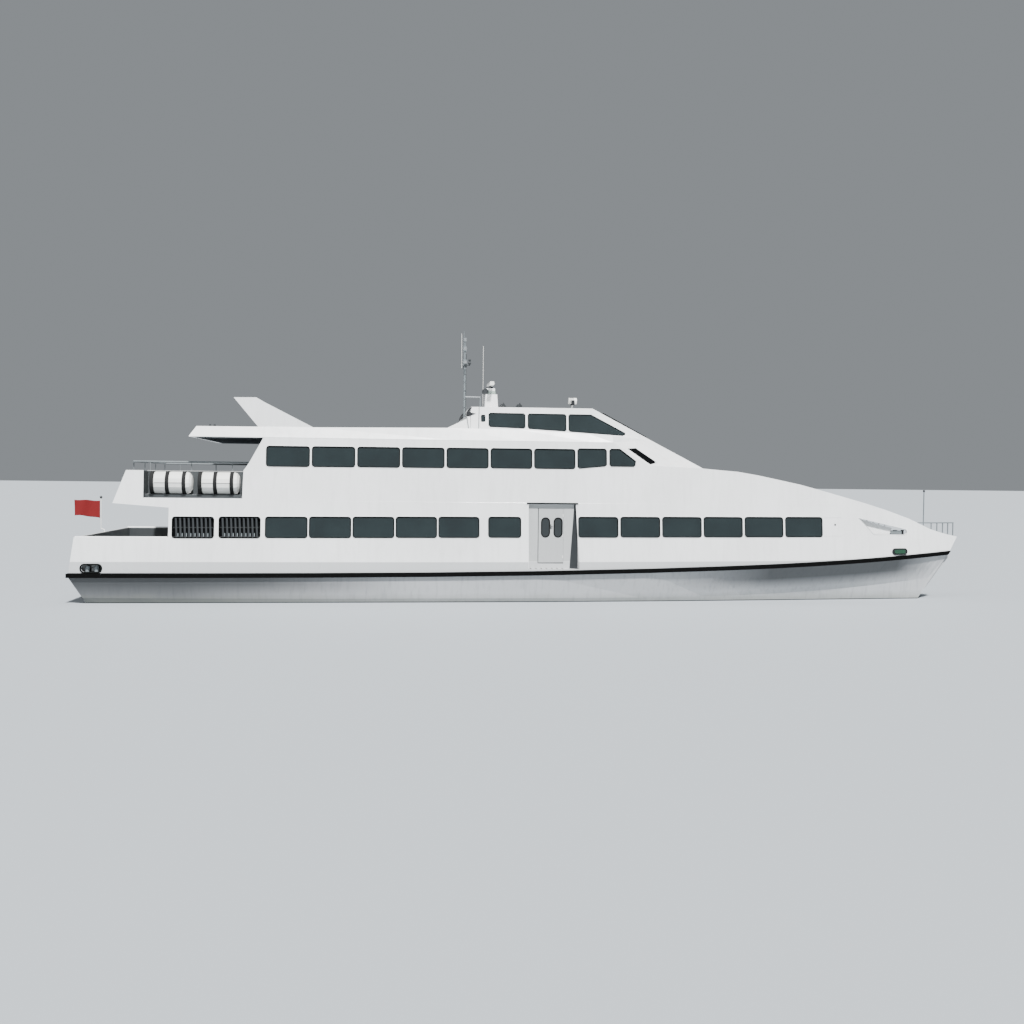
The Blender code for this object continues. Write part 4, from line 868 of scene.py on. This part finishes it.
# ---------------------------------------------------------------- rafts, rails and deck gear
def make_rafts():
    """Black straps, joint and release of each life raft's canister."""
    for side, hand in SIDES:
        for name in ("aft", "forward"):
            low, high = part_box("liferaft_%s_%s" % (side, name))
            x0, x1, ends = low[0], high[0], "_%s_%s" % (side, name)
            y, z, r = (low[1] + high[1]) / 2, (low[2] + high[2]) / 2, (high[2] - low[2]) / 2
            half = 0.065
            strap = [(r - 0.06, -half), (r + 0.016, -half), (r + 0.020, 0), (r + 0.016, half),
                     (r - 0.06, half),
                     (r - 0.06, -half)]
            turnings("raft_straps" + ends, [(strap, (x, y, z), (1, 0, 0), 40)
                                            for x in (x0 + 0.11, x0 + 0.62, x0 + 1.18)], WEBBING)
            beads("raft_joint" + ends, [[(x, y + out * r, z) for x in (x0 + 0.2, x1 - 0.2)]
                                        for out in (hand, -hand)], 0.008, GASKET, 6)
            boxes("raft_release" + ends, [(x0 + 0.6, x0 + 0.72, y - 0.03, y + 0.03,
                                           z + r - 0.005, z + r + 0.022)], STEEL, 0.006)
        make_raft_bay(side, hand)


def make_raft_bay(side, hand):
    """Painted shade: dark panels behind, under and at the ends of the life rafts."""
    x0, x1, floor, top = -13.76, -10.455, 3.612, 4.54
    back = (x0, x1, 2.885, 2.895, floor, top)
    shelves = [(x0, x1, 2.90, 3.12, floor, floor + 0.012), (x0, x1, 3.44, 3.72, floor, floor + 0.012)]
    toe_board = (x0, x1, 3.455, 3.467, floor + 0.014, floor + 0.125)
    ends = [(x - 0.006, x + 0.006, 2.90, 3.66, floor + 0.02, top) for x in (x0 - 0.006, x1 + 0.006)]
    # Dark panels painted as the shade in the raft bay.
    boxes("raft_bay_lining_" + side, [(xa, xb, hand * ya, hand * yb, za, zb)
                                      for xa, xb, ya, yb, za, zb in (back, *shelves, toe_board, *ends)],
          WELL_SHADE_PAINT)


def make_deck_gear():
    """Hatches, bitt caps, winches, ribs, rails, benches and lifebuoys on the open decks."""
    shape = bmesh.new()
    for x, y, half in ((-14.6, -2.2, 0.35), (-14.6, 2.2, 0.35), (-13.9, 0.0, 0.45)):
        add_box(shape, (x - half, y - half, DECK_Z + 0.001), (x + half, y + half, DECK_Z + 0.045), 0.02)
        add_turned(shape, [(0, 0), (0.10, 0), (0.10, 0.012), (0, 0.02)], (x, y, DECK_Z + 0.045), sides=20)
    solid("after_deck_hatches", shape, ALUMINIUM)
    make_after_shade_panels()
    for side, hand in SIDES:
        y = hand * 2.75
        turnings("bow_bitt_caps_" + side, [([(0, 0), (0.085, 0), (0.085, 0.05), (0, 0.06)], (x, y, 2.555))
                                           for x in (13.5, 13.8)], STEEL)
        shape = bmesh.new()
        add_box(shape, (12.9, y - 0.30, BOW_DECK_Z + 0.001), (13.15, y + 0.30, BOW_DECK_Z + 0.12), 0.03)
        add_turned(shape, [(0, -0.24), (0.09, -0.24), (0.07, -0.12), (0.07, 0.12), (0.09, 0.24), (0, 0.24)],
                   (13.02, y, BOW_DECK_Z + 0.22), (0, 1, 0), 18)
        solid("bow_winch_" + side, shape, GREY_PAINT)
        inner = on_side(hand, -WALL - 0.006)
        rings = []
        for x in (12.7 + k * 0.55 for k in range(5)):
            top = 2.42 if 11.9 < x < 14.05 else between(CREST, x) - 0.30
            rings.append(rib(inner, hand, x, BOW_DECK_Z, top, BOW_DECK_Z + 0.002, 0.16, -0.006))
        prisms("bow_ribs_" + side, rings, INNER_ENAMEL)
        inner = on_side(hand, -WALL - 0.004)
        prisms("after_ribs_" + side, [rib(inner, hand, -15.5 + k * 0.48, 1.3, 2.2, DECK_Z + 0.005, 0.15, 0.0)
                                      for k in range(2, 6)], WELL_SHADE_PAINT)
        crest = [on_side(hand, -WALL / 2)(x, 2.262) for x in (-15.96, -14.0, -12.92)]
        beads("after_cap_rail_" + side, [crest], 0.030, ENAMEL, 8)
        make_lifebuoys(side, hand)
    make_benches()
    make_rail_sleeves()


def rib(inner, hand, x, foot_line, top, foot, reach, back):
    """A triangular bulwark stiffener 12 mm thick: its ring and the way through its plate."""
    low, high = abs(inner(x, foot_line).y), abs(inner(x, top).y)
    ring = [Vector((x + back, hand * y, z)) for y, z in ((low, foot), (high, top), (low - reach, foot))]
    return ring, Vector((0.012, 0, 0))


def make_rail_sleeves():
    """Grey tube over the bow rails and jackstaff, and a thicker cap on the after rail."""
    rail_z = 2.90
    for side, hand in SIDES:
        def on_wall(x, z, out=hand):
            return (x, out * (side_y(x, between(CREST, x)) - WALL / 2), z)
        routes = [[on_wall(x, rail_z) for x in (14.47, 15.06, 15.6, 16.12)]]
        routes += [[on_wall(x, between(CREST, x)), on_wall(x, rail_z)]
                   for x in (15.1, 15.36, 15.62, 15.86, 16.1)]
        routes.append([on_wall(JACK_X, between(CREST, JACK_X)), on_wall(JACK_X, 4.10 if hand < 0 else 2.91)])
        beads("bow_rail_sleeves_" + side, routes, 0.022, GREY_PAINT, 8)
    y, forward, aft, z = 2.86, -9.97, -14.26, 4.86
    route = [(forward, -y, z), (aft, -y, z), (aft, y, z), (forward, y, z)]
    beads("after_rail_cap", [route], 0.030, GREY_PAINT, 8)


def make_after_shade_panels():
    """Painted shade: dark panels on the inner faces of the after bulwarks and under the roof overhang."""
    top, foot, corner, thin = 2.235, 1.08, -15.888, 0.005
    rings = []
    for hand in (-1, 1):
        inner = on_side(hand, -WALL - 0.004)
        for x0, x1, low in ((-15.885, -15.03, 1.36), (-15.03, -12.93, foot)):
            rings.append(([inner(x, z) for x, z in ((x0, low), (x1, low), (x1, top), (x0, top))],
                          Vector((0, hand * -0.004, 0))))
    foot_y, top_y = (side_y(corner, z) - WALL - 0.010 for z in (foot, top))
    across = ((-foot_y, foot), (foot_y, foot), (top_y, top), (-top_y, top))
    rings.append(([Vector((corner, y, z)) for y, z in across], Vector((thin, 0, 0))))
    # Dark panels painted as the shade inside the after well.
    prisms("after_well_linings", rings, WELL_SHADE_PAINT)
    under = SIDE_TOP_Z - 0.002
    # A dark panel painted as the shade under the overhang.
    boxes("overhang_soffit", [(-12.10, -9.80, -3.30, 3.30, under - 0.014, under)], OVERHANG_SHADE_PAINT)


def make_lifebuoys(side, hand):
    """Two rings on the after bulkheads, with their white bands and grab line."""
    y, radius = hand * 2.3, 0.28
    for deck, x, z in (("lower", AFT_WALL_X - 0.06, 2.2), ("upper", UPPER_AFT_WALL_X - 0.06, 4.72)):
        def around(angle, r=radius, aft=0.0, x=x, z=z):
            return (x - aft, y + r * cos(angle), z + r * sin(angle))
        name = "_%s_%s" % (deck, side)
        beads("lifebuoy" + name, [[around(2 * pi * k / 32) for k in range(32)]], 0.052, ORANGE, 14, loop=True)
        starts = [pi / 4 + k * pi / 2 for k in range(4)]
        bands = [[around(start + a) for a in (-0.12, 0.0, 0.12)] for start in starts]
        beads("lifebuoy_bands" + name, bands, 0.055, GELCOAT, 14)
        line = ((0.0, 0.34), (0.4, 0.365), (0.785, 0.37), (1.17, 0.365), (1.57, 0.34))
        loops = [[around(start + a, r, 0.02) for a, r in line] for start in starts]
        beads("lifebuoy_line" + name, loops, 0.007, ROPE, 6)


def make_benches():
    """Slatted benches on the open upper deck."""
    foot = UPPER_DECK_Z + 0.002
    seat = foot + 0.40
    for k, x in enumerate((-13.2, -12.0, -10.9)):
        for side, hand in SIDES:
            y = hand * 1.6
            slats = [(x + n * 0.11, x + n * 0.11 + 0.09, y - 0.9, y + 0.9,
                      UPPER_DECK_Z + 0.42, UPPER_DECK_Z + 0.445)
                     for n in range(4)]
            for n in range(3):
                back, z = x - 0.02 * n, UPPER_DECK_Z + 0.55 + n * 0.12
                slats.append((back - 0.07, back - 0.045, y - 0.9, y + 0.9, z, z + 0.09))
            boxes("bench_slats_%s_%d" % (side, k), slats, SEAT_SHELL, 0.006)
            legs = []
            for leg in (y - 0.75, y + 0.75):
                legs.append([(x + 0.38, leg, foot), (x + 0.38, leg, seat), (x, leg, seat),
                             (x - 0.10, leg, foot + 0.88)])
                legs.append([(x, leg, foot), (x, leg, seat)])
            beads("bench_legs_%s_%d" % (side, k), legs, 0.018, STEEL, 8)


# ---------------------------------------------------------------- roof and wheelhouse gear
def on_roof(x, y, proud=0.001):
    return (x, y, between(ROOF_LINE, x) + proud)


def make_roof_gear():
    """Lights on the overhang, roof seams, hatches and horns."""
    lamp = [(0, 0), (0.035, 0), (0.04, 0.05), (0.02, 0.075), (0, 0.075)]
    turnings("overhang_lights", [(lamp, (x, y, 6.104), (0, 0, 1), 14) for x in (-11.6, -11.45)
                                 for y in (-3.3, 3.3)], BLADE_PAINT)
    seams = [[on_roof(x, -3.34), on_roof(x, 3.34)] for x in (-11.0, -10.0, -7.6, -5.4, -3.3)]
    seams += [[on_roof(x, y) for x in (-12.0, -8.0, -3.4)] for y in (-2.2, 0.0, 2.2)]
    beads("roof_seams", seams, 0.006, ENAMEL, 6)
    boxes("roof_hatches", [(x - 0.35, x + 0.35, y - 0.35, y + 0.35, on_roof(x, y)[2], on_roof(x, y, 0.05)[2])
                           for x, y in ((-9.2, 0.0), (-6.4, 1.2), (-6.4, -1.2))], GELCOAT, 0.02)
    bar_z = WHEELHOUSE_TOP + 0.09
    trumpet = [(0, 0), (0.03, 0), (0.04, 0.04), (0.095, 0.15), (0.09, 0.17), (0.05, 0.13), (0, 0.13)]
    shape = bmesh.new()
    for y in (-0.35, 0.35):
        for x, way in ((-0.48, 1), (-0.94, -1)):
            add_turned(shape, trumpet, (x, y, bar_z + 0.02), (way * 0.8, 0, 0.45), 18)
            add_box(shape, (x - 0.025, y - 0.03, WHEELHOUSE_TOP - 0.03),
                    (x + 0.025, y + 0.03, bar_z + 0.03), 0.004)
        add_turned(shape, [(0, 0), (0.018, 0), (0.018, 0.46), (0, 0.46)], (-0.94, y, bar_z), (1, 0, 0), 10)
    solid("horns", shape, BLADE_PAINT)
    make_wheelhouse_back()


def make_wheelhouse_back():
    """Sloped fairing behind the wheelhouse, clear of the mast, with black corner mouldings and pipes."""
    corner = [(-2.385, 7.045), (-2.49, 6.97), (-2.58, 6.80), (-2.575, 6.70), (-2.43, 6.715), (-2.22, 6.80),
              (-2.40, 6.835), (-2.45, 6.88), (-2.37, 7.02)]
    fairings = (((-3.42, 6.185), (-2.565, 6.185), (-2.565, 6.60)),
                ((-2.56, 6.185), (-2.426, 6.185), (-2.426, 6.70), (-2.575, 6.70)))
    pipes = (((-2.10, 7.04), (-2.12, 6.22)), ((-2.56, 6.69), (-2.49, 6.22)))
    for side, hand in SIDES:
        wall, proud = on_wheelhouse(hand, -0.01), on_wheelhouse(hand, 0.012)
        shape = bmesh.new()
        for loop in fairings:
            add_prism(shape, [Vector((x, hand * 0.14, z)) for x, z in loop], [wall(x, z) for x, z in loop])
        solid("wheelhouse_aft_fairing_" + side, shape, ENAMEL)
        ring, inward = [proud(x, z) for x, z in corner], Vector((0, hand * -0.10, 0))
        prisms("wheelhouse_corner_" + side, [(ring, inward)], BLACK_PAINT)
        routes = [[proud(x, z) for x, z in pipe] for pipe in pipes]
        beads("wheelhouse_pipes_" + side, routes, 0.013, GREY_PAINT, 6)


def make_mast_gear():
    """Lanterns, yard gear, aerials, cable, clips and stay of the mast."""
    turnings("mast_lenses", [([(r - 0.03, -0.05), (r + 0.002, -0.05), (r + 0.002, 0.05), (r - 0.03, 0.05),
                               (r - 0.03, -0.05)], (MAST_X, 0, z), (0, 0, 1), 18)
                             for z, r in ((8.89, 0.088), (9.41, 0.078), (9.755, 0.062))], CLEAR_LENS)
    lantern = [(0, 0), (0.04, 0), (0.05, 0.05), (0.05, 0.12), (0.02, 0.15), (0, 0.15)]
    yard_z, bracket_x = 8.64, MAST_X + 0.19
    shape = bmesh.new()
    for y in (-0.42, 0.30):
        add_turned(shape, lantern, (MAST_X, y, yard_z), sides=14)
    for z, r in ((8.80, 0.055), (8.92, 0.05)):
        dome = [(0, 0), (r * 0.8, 0), (r, 0.06), (r * 0.6, 0.10), (0, 0.10)]
        add_turned(shape, dome, (bracket_x, 0, z), sides=14)
    add_box(shape, (MAST_X + 0.03, -0.012, 8.76), (MAST_X + 0.21, 0.012, 8.79))
    solid("yard_lanterns", shape, BLADE_PAINT)
    whip_x, whip_y = -1.74, 0.55
    whips = [[(MAST_X - 0.14, -0.30, 8.63), (MAST_X - 0.15, -0.30, 9.95)],
             [(whip_x, whip_y, WHEELHOUSE_TOP - 0.01), (whip_x, whip_y, 9.6)]]
    beads("whip_aerials", whips, 0.007, GELCOAT, 6)
    run = ((0.045, 6.25), (0.05, 7.4), (0.048, 8.55), (0.05, 9.2))
    beads("mast_cable", [[(MAST_X + out, 0.02, z) for out, z in run]], 0.010, GASKET, 6)
    clip = [(0.044, 0), (0.056, 0), (0.056, 0.02), (0.044, 0.02), (0.044, 0)]
    turnings("mast_clips", [(clip, (MAST_X, 0, 6.5 + k * 0.32), (0, 0, 1), 14) for k in range(7)], STEEL)
    stay_x, stay_z = -1.90, 7.55
    stay = [(MAST_X + 0.04, 0, stay_z), (stay_x, 0, stay_z), (stay_x, 0, WHEELHOUSE_TOP)]
    beads("mast_stay_cover", [stay], 0.032, GREY_PAINT, 8)
    make_radar_gear()
    make_searchlight_gear()


def make_searchlight_gear():
    """Lens, yoke and cooling fins, which turn with the searchlight."""
    low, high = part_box("searchlight")
    y, z, body = -0.6, 7.43, "searchlight"
    turnings("searchlight_lens", [([(0, 0), (0.105, 0), (0.10, 0.012), (0, 0.02)], (high[0] - 0.004, y, z),
                                   (1, 0, 0), 24)], CLEAR_LENS, body)
    yoke = [(1.57, 1.69, arm - 0.008, arm + 0.008, 7.27, 7.45) for arm in (y - 0.135, y + 0.135)]
    yoke += [(1.57, 1.69, y - 0.143, y + 0.143, 7.255, 7.275)]
    boxes("searchlight_yoke", yoke, BLACK_PAINT, 0.004, body)
    turnings("searchlight_fins", [([(0.118, 0), (0.126, 0), (0.126, 0.01), (0.118, 0.01), (0.118, 0)],
                                   (low[0] + 0.02 + 0.03 * k, y, z), (1, 0, 0), 24) for k in range(6)],
             BLACK_PAINT, body)


def make_radar_gear():
    """Fins, motor and skirt of the radar, under its turning scanner."""
    heights = [7.67 + 0.035 * k for k in range(4)]
    boxes("radar_fins", [(-1.68, -1.32, -0.17, 0.17, z, z + 0.016) for z in heights], PALE_GREEN_PAINT, 0.003)
    motor = [(0, -0.19), (0.10, -0.19), (0.12, -0.12), (0.12, 0.12), (0.10, 0.19), (0, 0.19)]
    skirt = [(0, 0), (0.13, 0), (0.13, 0.05), (0.10, 0.07), (0, 0.07)]
    turnings("radar_motor", [(motor, (-1.70, 0, 7.765), (0, 1, 0), 18),
                             (skirt, (-1.53, 0, 7.90), (0, 0, 1), 20)], BLADE_PAINT)


def make_front_slots():
    """The long dark air slot on each front facet, with its rim."""
    corners = [(3.215, -3.336, 5.527), (3.557, -3.042, 5.557), (4.346, -3.142, 5.029), (4.0, -3.475, 4.973)]
    for side, hand in SIDES:
        ring = [Vector((x, -hand * y, z)) for x, y, z in corners]
        out = (ring[1] - ring[0]).cross(ring[3] - ring[0]).normalized()
        if out.z < 0:
            out = -out
        prisms("front_slot_" + side, [([p + out * 0.012 for p in ring], out * -0.032)], MATT_BLACK)
        beads("front_slot_rim_" + side, [[p + out * 0.010 for p in ring]], 0.010, GASKET, 8, loop=True)


# ---------------------------------------------------------------- cabins
def add_back(shape, x, z, size):
    """A seat back's slab, leaning aft."""
    made = bmesh.ops.create_cube(shape, size=1.0)["verts"]
    turn = Matrix.Translation((x, 0, z)) @ Matrix.Rotation(radians(-12), 4, "Y") @ Matrix.Diagonal((*size, 1))
    bmesh.ops.transform(shape, matrix=turn, verts=made)
    return made


def seat_parts():
    """One seat: its cushions and its shell."""
    soft = bmesh.new()
    add_box(soft, (0.06, -0.215, 0.38), (0.50, 0.215, 0.48), 0.035)
    edges = {e for v in add_back(soft, 0.0, 0.78, (0.09, 0.42, 0.62)) for e in v.link_edges}
    bmesh.ops.bevel(soft, geom=list(edges), offset=0.035, segments=2, affect="EDGES")
    hard = bmesh.new()
    add_back(hard, -0.062, 0.74, (0.02, 0.44, 0.66))
    add_box(hard, (0.04, -0.225, 0.34), (0.50, 0.225, 0.375))
    add_box(hard, (0.22, -0.03, 0.04), (0.30, 0.03, 0.35))
    for y in (-0.235, 0.235):
        add_box(hard, (0.03, y - 0.02, 0.58), (0.38, y + 0.02, 0.61))
    return closed(soft, "seat cushions"), closed(hard, "seat shell")


def make_seats():
    """Rows of seats on their tracks, in the saloon and the upper cabin."""
    soft, hard = seat_parts()
    pitch = 0.95
    places = [hand * y for y in (0.75, 1.27, 1.79, 2.31, 2.83) for hand in (-1, 1)]
    cabins = (("saloon_seats", -11.9, 18, 1.38), ("upper_seats", -9.0, 11, UPPER_DECK_Z))
    for name, x0, count, floor in cabins:
        spots = [(x0 + pitch * k, y, floor + 0.002) for k in range(count) for y in places]
        cushions = copies(name + "_cushions", soft.copy(), spots, SEAT_CLOTH)
        copies(name + "_shells", hard.copy(), spots, SEAT_SHELL)
        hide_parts(name)
        tracks = [[(x, y, floor + 0.012) for x in (x0 - 0.1, x0 + pitch * count)] for y in places]
        beads(name + "_tracks", tracks, 0.012, ALUMINIUM, 6)


def make_wheelhouse_inside():
    """Console, screens, wheel and two helm chairs."""
    boxes("helm_console", [(1.55, 2.25, -1.45, 1.45, 5.07, 6.05)], SEAT_SHELL, 0.03)
    boxes("helm_screens", [(1.62, 1.68, y - 0.24, y + 0.24, 6.05, 6.34) for y in (-0.9, -0.3, 0.3, 0.9)],
          BLACK_PAINT, 0.008)
    wheel_z, radius = 5.86, 0.20

    def rim(angle):
        return (1.47, radius * cos(angle), wheel_z + radius * sin(angle))
    beads("helm_wheel", [[rim(2 * pi * k / 24) for k in range(24)]], 0.014, BLACK_PAINT, 8, loop=True)
    spokes = [[rim(a), (1.50, 0, wheel_z)] for a in (pi / 2, pi / 2 + 2.09, pi / 2 + 4.19)]
    beads("helm_spokes", spokes, 0.008, STEEL, 6)
    pillar = [(0, 0), (0.22, 0), (0.20, 0.03), (0.06, 0.05), (0.06, 0.52), (0, 0.52)]
    shape = bmesh.new()
    for y in (-0.7, 0.7):
        add_box(shape, (0.45, y - 0.27, 5.60), (0.98, y + 0.27, 5.72), 0.04)
        add_box(shape, (0.36, y - 0.26, 5.72), (0.48, y + 0.26, 6.42), 0.04)
        add_turned(shape, pillar, (0.70, y, 5.062), sides=18)
    solid("helm_chairs", shape, BLACK_PAINT)


# ---------------------------------------------------------------- ensign
def make_ensign():
    """Bunting on a halyard: it waves along its length and its free corner drops."""
    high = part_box("ensign")[1]
    hoist_x, top = high[0] - 0.01, high[2] - 0.02
    length, drop = 0.98, 0.56
    across, down = 60, 36
    shape = bmesh.new()
    uv = shape.loops.layers.uv.new("cloth")
    rows, flat = [], {}
    for j in range(down + 1):
        v = j / down
        row, x, y = [], 0.0, 0.0
        for i in range(across + 1):
            u = i / across
            step = length / across if i else 0.0
            swing = 0.55 * sin(2 * pi * (1.6 * u - 0.25 * v)) * min(1.0, 3 * u)
            x += step * cos(swing)
            y += step * sin(swing)
            sag = 0.10 * v * (1 - u) ** 2 - 0.03 * (1 - v) * u + 0.012 * sin(9 * u + 4 * v)
            corner = shape.verts.new((hoist_x - x, 0.42 * y, top - 0.03 - v * drop - sag))
            flat[corner] = (u * length, v * drop)
            row.append(corner)
        rows.append(row)
    for j in range(down):
        for i in range(across):
            shape.faces.new((rows[j][i], rows[j + 1][i], rows[j + 1][i + 1], rows[j][i + 1]))
    for face in shape.faces:
        for loop in face.loops:
            loop[uv].uv = flat[loop.vert]
    mesh = bpy.data.meshes.new("ensign_cloth")
    shape.to_mesh(mesh)
    shape.free()
    item = piece("ensign_cloth", mesh, FLAG)
    thick = item.modifiers.new("thickness", "SOLIDIFY")
    thick.thickness = 0.002
    thick.offset = 0.0
    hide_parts("ensign")
    toggles = [[(hoist_x, 0, top - 0.03), (STAFF_X, 0, top - 0.01)],
               [(hoist_x, 0, top - drop - 0.12), (STAFF_X, 0, top - drop - 0.14)]]
    beads("ensign_lines", toggles, 0.004, ROPE, 6)
    jack_y = side_y(JACK_X, between(CREST, JACK_X)) - WALL / 2
    turnings("staff_trucks", [
        ([(0, -0.052), (0.036, -0.037), (0.052, 0), (0.036, 0.037), (0, 0.052)], (STAFF_X, 0, 3.55)),
        ([(0, -0.045), (0.032, -0.032), (0.045, 0), (0.032, 0.032), (0, 0.045)], (JACK_X, -jack_y, 4.10))],
             BLACK_PAINT)


# ---------------------------------------------------------------- finishes of the CAD pieces
def paint_nodes():
    finishes = (
        (HULL, "hull"), (SIDE_ENAMEL, "lower_side bow_bulwark"), (RECESS_SHADED_DOOR_ENAMEL, "side_door"),
        (CARPET, "saloon_sole"),
        (ENAMEL, "upper_side aft_bulwark lower_aft_bulkhead upper_aft_bulkhead front_bulkhead roof "
                 "front_fairing foredeck_roof wheelhouse radar_pedestal"),
        (DECK, "bow_deck bridge_deck upper_deck"), (ALUMINIUM, "lower_aft_door upper_aft_door foredeck_door"),
        (FENDER, "fender"), (MATT_BLACK, "intake_grille"), (GREY_PAINT, "mast"), (GREEN_PAINT, "engine"),
        (GELCOAT, "radar_scanner searchlight ensign_staff liferaft"), (BRONZE, "propeller"),
        (STEEL, "rudder"))
    for material, starts in finishes:
        for name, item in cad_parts.items():
            if any((name + "_").startswith(start + "_") for start in starts.split()):
                for holder in item.material_slots:
                    holder.material = material


# ---------------------------------------------------------------- stage
def make_stage():
    floor = bpy.data.meshes.new("floor")
    reach = 900.0
    floor.from_pydata([(-reach, -reach, 0), (reach, -reach, 0), (reach, reach, 0), (-reach, reach, 0)], [],
                      [(0, 1, 2, 3)])
    floor.materials.append(finish("pale floor paint", "#9BA1A6", 0.8)[0])
    ground = bpy.data.objects.new("floor", floor)
    bpy.context.scene.collection.objects.link(ground)

    world = bpy.data.worlds.new("studio")
    bpy.context.scene.world = world
    world.use_nodes = True
    back = world.node_tree.nodes["Background"]
    back.inputs["Color"].default_value = colour("#DDE4EA")
    back.inputs["Strength"].default_value = 0.36
    for name, turn, power, soft in (("key", (33, 0, 14), 10.5, 5.0), ("fill", (50, 0, -55), 1.0, 20.0)):
        lamp = bpy.data.lights.new(name, "SUN")
        lamp.energy = power
        lamp.angle = radians(soft)
        item = bpy.data.objects.new(name, lamp)
        item.rotation_euler = [radians(a) for a in turn]
        bpy.context.scene.collection.objects.link(item)

    camera = bpy.data.cameras.new("camera")
    camera.lens, camera.sensor_width = 38.0, 36.0
    camera.clip_end = 3000.0
    item = bpy.data.objects.new("camera", camera)
    yaw, pitch, roll = radians(7.0), radians(-1.649), radians(0.624)
    ahead = Vector((sin(yaw) * cos(pitch), cos(yaw) * cos(pitch), sin(pitch)))
    right = Vector((cos(yaw), -sin(yaw), 0))
    up = right.cross(ahead)
    tilted_right = right * cos(roll) + up * sin(roll)
    tilted_up = up * cos(roll) - right * sin(roll)
    stand = Matrix((tilted_right, tilted_up, -ahead)).transposed().to_4x4()
    stand.translation = (-5.75, -41.9, 4.32)
    item.matrix_world = stand
    bpy.context.scene.collection.objects.link(item)
    bpy.context.scene.camera = item


paint_nodes()
make_glazing()
make_intakes()
make_side_lines()
make_side_doors()
make_hull_gear()
make_rafts()
make_deck_gear()
make_roof_gear()
make_mast_gear()
make_front_slots()
make_seats()
make_wheelhouse_inside()
make_ensign()
make_stage()
bpy.context.view_layer.update()
